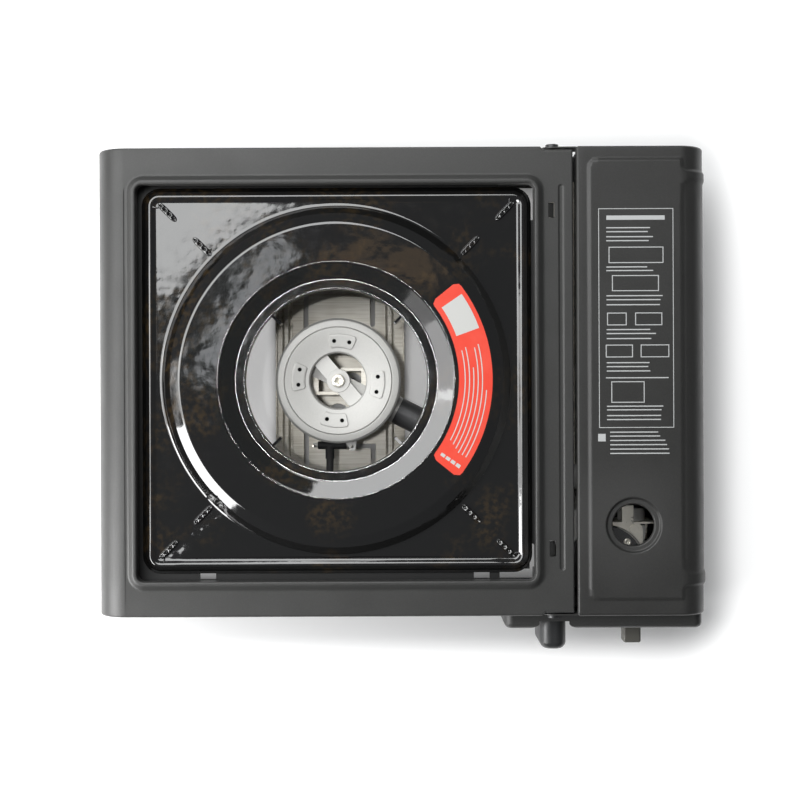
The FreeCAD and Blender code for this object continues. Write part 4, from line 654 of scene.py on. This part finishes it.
for quarter in range(4):
    heading = -5.5 + 90 * quarter
    outline = []
    for out, first, last in ((pad_outer, -pad_half_turn, pad_half_turn),
                             (pad_inner, pad_half_turn, -pad_half_turn)):
        for step in range(13):
            outline.append((out, math.radians(heading + first + (last - first) * step / 12)))
        end_turn = math.radians(heading + last * 1.09)
        for share in (0.55, -0.55):
            outline.append((pad_middle + (out - pad_middle) * share, end_turn))
    loops = []
    for z, spread in ((pad_top, 0.0), (62.5, 0.35), (61.8, 0.6)):
        widened = [(out + math.copysign(spread, out - pad_middle), turn) for out, turn in outline]
        loops.append(pads.row([(burner_x + out * math.cos(turn), burner_y + out * math.sin(turn))
                               for out, turn in widened], z))
    pads.stack(loops)
    holes = []
    for side in (-port_turn, port_turn):
        turn = math.radians(heading + side)
        x, y = burner_x + pad_middle * math.cos(turn), burner_y + pad_middle * math.sin(turn)
        hole = [pads.row(ring_outline(x, y, out, 24), z) for out, z in ((1.5, pad_top), (1.35, port_floor))]
        pads.strip(*hole)
        holes.append(hole[0])
        ports.append((x, y, port_floor + 0.02))
    pads.flat(loops[0], *holes)
stand_for(pads.made(cast_alloy), "burner_cap")
# Painted shade: a black disc at the floor of each shallow port stands for the shade inside a deep gas port.
soot = Coating("soot", (0.002, 0.002, 0.002), 0.9)
soot.shader.inputs["Specular IOR Level"].default_value = 0.1
port = Pressing("port_form")
port.flat(port.row(ring_outline(0, 0, 1.36, 24), 0.0))
repeated("burner_cap", port.made(soot), ports, soot, ending="_ports")
repeated("burner_screw", screw_form("burner_screw_form", 3.9, 1.7, plated, 2.0, 22),
         [(burner_x, burner_y, 60.7)], plated, seed=11)


# Valve and cartridge claw.
# A die-cast valve body with the round pressure governor under a dark lid, the rubber seal that the cartridge
# is pushed against, and the plated claw that finds the cartridge's notch, all held by cross-head screws.
for node, coating, soften in (("valve_body", cast_alloy, 0.25), ("governor_cover", dark_steel, 0.2),
                              ("inlet_seal", rubber, 0.15), ("cartridge_claw", plated, 0.12),
                              ("claw_screw", plated, 0.1)):
    copy_of(node, coating, soften)
repeated("governor_screws", screw_form("governor_screw", 2.2, 1.0, plated),
         [(x, y, 54.0) for x in (104.77, 130.23) for y in (-108.53, -83.07)], plated, seed=7)


# Igniter.
# The piezo click unit and its plunger, the black high-voltage lead to its boot, and the white ceramic rod
# with a wire tip, clipped beside the burner.
black_plastic = Coating("black_plastic", (0.028, 0.029, 0.030), 0.36)
black_plastic.relief(black_plastic.noise(0.0005, 2.0), 0.00002)
black_plastic.drive("Roughness", black_plastic.noise(0.01, 3.0).fade(0.3, 0.7) * 0.10 + 0.32)
ceramic = Coating("ceramic", (0.80, 0.79, 0.75), 0.18, coat_weight=0.5)
for node, coating, soften in (("igniter_body", black_plastic, 0.3), ("igniter_plunger", black_plastic, 0.2),
                              ("ignition_lead", rubber, 0), ("electrode_boot", rubber, 0.2),
                              ("electrode", ceramic, 0.15), ("electrode_tip", plated, 0),
                              ("electrode_clip", plated, 0.08)):
    copy_of(node, coating, soften)


# Control panel, dial, lever and cartridge pusher.
# A moulded front panel, a push-on dial with a grip bar over the brass stem, and the plated lever that shifts
# the push rod and its rear plate against a wound spring.
panel_paint = satin_paint("panel_paint", (0.044, 0.044, 0.043))
grey_plastic = Coating("grey_plastic", (0.105, 0.102, 0.090), 0.42)
grey_plastic.relief(grey_plastic.noise(0.0005, 2.0), 0.00002)
for node, coating, soften in (("control_panel", panel_paint, 0.3), ("knob", black_plastic, 0.3),
                              ("valve_stem", brass, 0.1), ("ignition_cam", black_plastic, 0.2),
                              ("lock_lever", plated, 0.12), ("lever_tab", grey_plastic, 0.35),
                              ("lever_pin", plated, 0.1), ("push_rod", plated, 0.12),
                              ("push_plate", plated, 0.15)):
    copy_of(node, coating, soften)
spring_steel = Coating("spring_steel", (0.46, 0.46, 0.45), 0.26, metallic=1.0)
spring = copy_of("push_spring", spring_steel, 0)
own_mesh(spring)
panel_screw = screw_form("panel_screw", 3.2, 1.6, plated, 1.4, 6.9)
repeated("panel_screws", panel_screw, [(61.9, front + sheet, 18), (162.5, front + joggle + sheet, 18)], plated,
         facing=(-math.pi / 2, 0, 0), seed=9)


# Cartridge lid.
# One pressing in the casing's paint, painted darker as the shade where the light falls off towards the right:
# a raised panel that runs over the right bend between two ribs, a round dished window over the valve, ears for
# the two hinge pins at the left, and plain white printed lines.
lid_right, lid_top, lid_bottom = lid_high.x - 1, 85.0, lid_low.z
lid_bend, lid_roll, lid_flange = 15.0, 1.6, 3.0
panel_front, panel_rear = -111.6, 133.4
rib_front, rib_rear = -104.0, 127.0
recess_front, recess_rear = -97.2, 121.6
window_x, window_y = 128.7, -70.4


def spaced(start, end, coarse, fine, spots, near):
    """Grid lines from start to end, fine near the spots and coarse elsewhere."""
    lines = {start, end}
    count = round((end - start) / coarse)
    lines.update(start + (end - start) * number / count for number in range(count + 1))
    for spot in spots:
        steps = round(near / fine)
        lines.update(spot + fine * number for number in range(-steps, steps + 1))
    kept = []
    for line in sorted(line for line in lines if start <= line <= end):
        if not kept or line - kept[-1] > fine * 0.45:
            kept.append(line)
    kept[-1] = end
    return kept


def lid_place(along):
    """(x, z, outward x, outward z) at a distance along the lid's section from its left edge."""
    roll, bend = lid_roll * math.pi / 2, lid_bend * math.pi / 2
    across = lid_right - lid_left - lid_roll - lid_bend
    if along < lid_flange:
        return lid_left, lid_top - lid_roll - lid_flange + along, -1.0, 0.0
    along -= lid_flange
    if along < roll:
        angle = along / lid_roll
        return (lid_left + lid_roll - lid_roll * math.cos(angle), lid_top - lid_roll + lid_roll * math.sin(angle),
                -math.cos(angle), math.sin(angle))
    along -= roll
    if along < across:
        return lid_left + lid_roll + along, lid_top, 0.0, 1.0
    along -= across
    if along < bend:
        angle = along / lid_bend
        return (lid_right - lid_bend + lid_bend * math.sin(angle), lid_top - lid_bend + lid_bend * math.cos(angle),
                math.sin(angle), math.cos(angle))
    return lid_right, lid_top - lid_bend - along + bend, 1.0, 0.0


def inside(x, y, low_x, high_x, low_y, high_y, corner, slope):
    """1 inside a rounded rectangle and 0 outside, with a smooth slope across its edge."""
    dx = abs(x - (low_x + high_x) / 2) - (high_x - low_x) / 2 + corner
    dy = abs(y - (low_y + high_y) / 2) - (high_y - low_y) / 2 + corner
    beyond = math.hypot(max(dx, 0), max(dy, 0)) + min(max(dx, dy), 0) - corner
    share = min(max(0.5 - beyond / slope, 0), 1)
    return share * share * (3 - 2 * share)


lid_length = lid_flange + (lid_roll + lid_bend) * math.pi / 2 + lid_right - lid_left - lid_roll - lid_bend
lid_length += lid_top - lid_bend - lid_bottom
to_along = lid_flange + lid_roll * math.pi / 2 - lid_left - lid_roll
panel_left, side_start = 104.4 + to_along, 156.2 + to_along
window_cell = (110.0 + to_along, 147.4 + to_along, window_y - 18.7, window_y + 18.7)


def lid_rise(along, y):
    """How far the sheet is pressed out in millimetres: 1 on the panel, less in the recess over its bend."""
    past_edge = lid_length + 60
    panel = inside(along, y, panel_left, past_edge, panel_front, panel_rear, 5.0, 2.4)
    panel *= 1 - inside(along, y, side_start, past_edge, rib_rear, 200, 3.0, 2.2)
    panel *= 1 - inside(along, y, side_start, past_edge, -200, rib_front, 3.0, 2.2)
    recess = inside(along, y, side_start, past_edge, recess_front, recess_rear, 6.0, 3.0)
    return panel - 0.75 * recess


lid = Pressing("lid_sheet")
lid_front, lid_rear = lid_low.y, lid_high.y
lid_fold = 1.6
alongs = spaced(0, lid_length, 2.6, 0.42, (panel_left, side_start), 1.9)
alongs = [line for line in alongs if not window_cell[0] - 0.2 < line < window_cell[0] + 0.2]
ys = spaced(lid_front + lid_fold, lid_rear - lid_fold, 5.0, 0.42,
            (panel_front, panel_rear, rib_rear, rib_front, recess_front, recess_rear), 1.9)
alongs = sorted(set(alongs) | set(window_cell[:2]) | {0.9, 1.8, 3.0, 3.6, 4.2, 4.8})
ys = sorted(set(ys) | set(window_cell[2:]))
grid = {}
for column, along in enumerate(alongs):
    x, z, out_x, out_z = lid_place(along)
    for line, y in enumerate(ys):
        rise = lid_rise(along, y)
        grid[column, line] = lid.row([(x + out_x * rise, y, z + out_z * rise)])[0]
cell = [alongs.index(window_cell[0]), alongs.index(window_cell[1]), ys.index(window_cell[2]),
        ys.index(window_cell[3])]
for column in range(len(alongs) - 1):
    for line in range(len(ys) - 1):
        if not (cell[0] <= column < cell[1] and cell[2] <= line < cell[3]):
            lid.strip([grid[column, line], grid[column + 1, line]], [grid[column, line + 1],
                                                                     grid[column + 1, line + 1]], closed=False)
border = [grid[column, cell[2]] for column in range(cell[0], cell[1] + 1)]
border += [grid[cell[1], line] for line in range(cell[2] + 1, cell[3] + 1)]
border += [grid[column, cell[3]] for column in range(cell[1] - 1, cell[0] - 1, -1)]
border += [grid[cell[0], line] for line in range(cell[3] - 1, cell[2], -1)]
panel_top = lid_top + 1
dish = rounded([(16.6, panel_top, 0), (15.5, panel_top, 0.9), (14.6, panel_top - 1.6, 0.9),
                (11.9, panel_top - 1.6, 0.8), (11.5, panel_top - 3.0, 0)], 4)
dish_rows = [lid.row(ring_outline(window_x, window_y, out, 96), z) for out, z in dish]
lid.stack(dish_rows)
lid.flat(border, dish_rows[0])
skirt_bottom, ear_radius, pin_hole = 55.0, 6.2, 2.05
for line, y, outer in ((0, ys[0], lid_front), (len(ys) - 1, ys[-1], lid_rear)):
    edge = [grid[column, line] for column in range(len(alongs))]
    before = edge
    for step in range(1, 5):
        angle = math.radians(22.5 * step)
        after = []
        for along in alongs:
            x, z, out_x, out_z = lid_place(along)
            inset = lid_fold * (1 - math.cos(angle))
            after += lid.row([(x - out_x * inset, y + (outer - y) * math.sin(angle), z - out_z * inset)])
        lid.strip(before, after, closed=False)
        before = after
    ear_turns = [math.radians(turn) for turn in range(90, 271, 12)]
    ear = [(hinge_x + ear_radius * math.cos(turn), hinge_z + ear_radius * math.sin(turn)) for turn in ear_turns]
    first = (before[0].co.x * 1000, before[0].co.z * 1000)
    last = (before[-1].co.x * 1000, before[-1].co.z * 1000)
    under = [(last[0] - 2.2, last[1] + 1.0), (last[0] - 5, skirt_bottom), (first[0] + 6, skirt_bottom),
             (first[0] + 1.5, 69.8)]
    rest = lid.row([(x, outer, z) for x, z in under + ear[::-1] + [(first[0] - 1, 82.2)]])
    hole = lid.row([(x, outer, z) for x, z in ring_outline(hinge_x, hinge_z, pin_hole, 20)])
    lid.flat(before + rest, hole)
# Painted shade: the casing's paint made darker for the weaker light on the lid at the right.
lid_paint = satin_paint("lid_paint", (0.0275, 0.0273, 0.0263))
white_ink = Coating("white_ink", (0.50, 0.51, 0.51), 0.5)
stand_for(lid.made(lid_paint, thickness=sheet), "canister_lid")
copy_of("hinge_pins", dark_steel, 0.15)
bar = Pressing("print_bar")
bar.flat(bar.row(plate_outline(0, 0, 1, 1, 0.0, 1), 0.0))
ink_rise = 0.03
print_z = panel_top + ink_rise
prints = []
for left_x, top_y, wide, tall, line in ((109.7, 105.6, 41.3, 121.6, 0.4), (115.4, 84.2, 30.0, 8.6, 0.5),
                                        (117.2, 68.4, 25.6, 8.4, 0.5), (114.4, 47.6, 10.4, 6.6, 0.5),
                                        (130.0, 47.6, 14.6, 6.6, 0.5), (113.6, 29.8, 14.6, 6.6, 0.5),
                                        (133.0, 29.8, 15.4, 6.6, 0.5), (116.6, 9.4, 18.0, 11.4, 0.5)):
    middle_x, middle_y = left_x + wide / 2, top_y - tall / 2
    for x, y, w, d in ((middle_x, top_y, wide + line, line), (middle_x, top_y - tall, wide + line, line),
                       (left_x, middle_y, line, tall - line), (left_x + wide, middle_y, line, tall - line)):
        prints.append((x, y, print_z, w, d, 1))
prints.append((130.2, 100.6, print_z, 32.4, 2.4, 1))
prints.append((130.8, 11.6, print_z, 34.8, 0.6, 1))
chance = random.Random(4)
for left_x, least, most, row_ys in (
        (113.9, 22, 32, (95.0, 92.8, 90.0, 87.8, 73.2, 71.2, 57.2, 55.0, 52.2, 38.4, 36.2, 33.4, 20.0, 17.8, 15.4,
                         -4.2, -6.2, -9.4, -11.6)),
        (115.6, 25, 34, (-18.6, -20.8, -23.2, -25.6, -28.0, -30.4))):
    for row_y in row_ys:
        width = chance.uniform(least, most)
        prints.append((left_x + width / 2, row_y, print_z, width, 0.62, 1))
prints.append((111.0, -21.6, print_z, 4.2, 4.2, 1))
repeated("canister_lid", bar.made(white_ink), prints, white_ink, turn=0.0, ending="_print")


# Drip pan, pot supports and printed film.
# A pressed steel pan under gloss black enamel, stored upside down: a beaded border, a raised ring round the
# hole, and four supports whose crimped tabs come up through it, with a plain red film on the ring.
enamel = Coating("enamel", (0.006, 0.006, 0.006), 0.07)
enamel.shader.inputs["IOR"].default_value = 2.0
enamel.drive("Roughness", enamel.noise(0.008, 3.0).fade(0.35, 0.8) * 0.06 + 0.05)
# Painted reflection: brown patches in the black enamel's colour stand for the warm room's mottled reflection.
painted_brown_reflection = enamel.noise(0.034, 3.0).fade(0.48, 0.66) * enamel.noise(0.0035, 4.0).fade(0.4, 0.68)
enamel.tint(painted_brown_reflection, (0.028, 0.019, 0.0095))
pan_x, pan_y = (pan_low.x + pan_high.x) / 2, (pan_low.y + pan_high.y) / 2
across, along, _ = enamel.place.parts()
across, along = across - pan_x * 0.001, along - pan_y * 0.001
at_front = along.fade(0.0, -0.02)
across, along = across.maths("ABSOLUTE"), along.maths("ABSOLUTE")
diagonal = 0.70711
outward, sideways = (across + along) * diagonal, (across - along) * diagonal
tab_outs = (106.2, 133.6)
beside = [((outward - out * 0.001).maths("ABSOLUTE") - 0.006).maths("MAXIMUM", 0.0) for out in tab_outs]
beside = beside[0].maths("MINIMUM", beside[1])
beside = (beside * beside + sideways * sideways).maths("SQRT") + enamel.noise(0.009, 2.0) * 0.004
enamel.relief(at_front * beside.fade(0.013, 0.001), -0.00075)
enamel.relief(enamel.noise(0.018, 2.0), 0.00017)
enamel.relief(enamel.noise(0.0045, 3.0), 0.000022)
pan = Pressing("pan_sheet")
pan_flat, pan_ring = 80.0, pan_high.z
border = rounded([(0, pan_low.z, 0), (0, 77.6, 0.3), (1.5, 78.3, 0.35), (2.4, 79.7, 0.35),
                  (5.3, 82.0, 1.8), (7.9, pan_flat, 2.2), (9.4, pan_flat, 0)], 6)
pan_width, pan_depth = pan_high.x - pan_low.x, pan_high.y - pan_low.y
border_rows = [pan.row(plate_outline(pan_x, pan_y, pan_width - 2 * inn, pan_depth - 2 * inn, 10.4 - inn, 8), z)
               for inn, z in border]
ring = rounded([(99.6, pan_flat, 0), (98.1, pan_flat, 3.0), (93.0, 84.4, 6.0), (87.4, pan_ring, 2.8),
                (65.5, pan_ring, 2.4), (56.8, 83.4, 2.4), (50.7, 83.4, 0.9), (50.6, 80.2, 0)], 6)
ring_rows = [pan.row(ring_outline(pan_x, pan_y, out, 192), z) for out, z in ring]
pan.stack(border_rows)
pan.stack(ring_rows)
pan.flat(border_rows[-1], ring_rows[0])
stand_for(pan.made(enamel, thickness=sheet), "drip_pan")


def crimped_tab(piece, middle_out, length, spread, hook):
    """A tab folded over on the pan: a long oval with a row of crimps down its middle and a hook at one end."""
    turns = [math.radians(turn) for turn in range(0, 181, 12)]
    stations = [step / 32 for step in range(33)]
    start = middle_out + length * 0.36
    lines = [[(middle_out + (share - 0.5) * length, 0.0, max(1 - abs(2 * share - 1) ** 5, 0.02) ** 0.5,
               0.45 - 0.35 * math.cos(8 * math.pi * share)) for share in stations],
             [(start - 0.3, spread * 0.3, 0.5, 0), (start + 0.3, spread, 0.42, 0),
              (start + 1.5, spread * 1.6, 0.36, 0), (start + 2.6, spread * 1.9, 0.4, 0),
              (start + 3.3, spread * 1.7, 0.2, 0)]]
    for line in lines[:1 + hook]:
        rows = []
        for out, side, width, crimp in line:
            points = []
            for turn in turns:
                hollow = 1 - crimp * math.exp(-(math.cos(turn) / 0.42) ** 2)
                points.append((out, side + spread * width * math.cos(turn),
                               pan_flat - 0.3 + 2.2 * (0.25 + 0.75 * width) * math.sin(turn) * hollow))
            rows.append(piece.row(points))
        piece.stack(rows)
        piece.flat(rows[0])
        piece.flat(rows[-1])


blade = [(45.5, 59.1), (141.0, 59.1), (141.0, 66.0), (137.5, 79.0), (99.0, 79.0), (88.6, 79.0), (66.0, 79.0),
         (56.0, 74.0), (45.5, 70.0)]
blade_half = 0.75
for number in range(1, 5):
    support = Pressing("support_" + str(number))
    outline = rounded([(out, z, 0 if corner in (0, 1) else 1.2) for corner, (out, z) in enumerate(blade)], 3,
                      closed=True)
    faces = [support.row([(out, side, z) for out, z in outline]) for side in (-blade_half, blade_half)]
    support.strip(*faces)
    for face in faces:
        support.flat(face)
    for out, hook in zip(tab_outs, (False, True)):
        crimped_tab(support, out, 14.2, 1.8, hook)
    turn = math.radians(90 * number - 45)
    for vertex in support.mesh.verts:
        x, y = vertex.co.x, vertex.co.y
        vertex.co.x = x * math.cos(turn) - y * math.sin(turn) + pan_x * 0.001
        vertex.co.y = x * math.sin(turn) + y * math.cos(turn) + pan_y * 0.001
    stand_for(support.made(enamel, soften=0.2), "pot_support_" + str(number))


red_film = Coating("red_film", (0.80, 0.070, 0.042), 0.30)
red_film.tint(red_film.noise(0.012, 3.0).fade(0.4, 0.75) * 0.35, (0.86, 0.13, 0.09))
pale_film = Coating("pale_film", (0.58, 0.58, 0.56), 0.35)
film_top = pan_ring + 0.11
ink_top = film_top + ink_rise


def arc_patch(piece, inner, outer, start, end, z, corner=0.0):
    """A flat patch between two radii and two angles, its corners rounded."""
    middle, reach = (inner + outer) / 2, math.radians(end - start)
    turns = max(int((end - start) / 1.2), 2)
    across = (outer - inner) / 2
    rows = []
    for turn in range(turns + 1):
        angle = reach * turn / turns
        edge = min(angle, reach - angle) * middle
        near = max(corner - edge, 0)
        cut = corner - math.sqrt(max(corner * corner - near * near, 0))
        rows.append((math.radians(start) + angle, across - cut))
    piece.stack([piece.row([(pan_x + (middle + half * side) * math.cos(angle),
                             pan_y + (middle + half * side) * math.sin(angle)) for side in (-1, 0, 1)], z)
                 for angle, half in rows], closed=False)


film = Pressing("red_film_sheet")
arc_patch(film, 68.2, 86.8, -39, 39, film_top, 3.0)
stand_for(film.made(red_film, thickness=0.08), "pan_label")
film_print = Pressing("film_print")
arc_patch(film_print, 71.0, 84.4, 19.8, 34.2, ink_top)
for out, start, end in ((71.6, -28, 13), (74.0, -29, 14), (76.4, -30, 5), (78.8, -31, 13), (81.2, -31, 14),
                        (83.6, -31, -4)):
    arc_patch(film_print, out - 0.28, out + 0.28, start, end, ink_top)
for out in (72.4, 75.8, 79.2, 82.6):
    arc_patch(film_print, out - 1.3, out + 1.3, -36.0, -34.6, ink_top)
stand_for(film_print.made(pale_film), "pan_label")
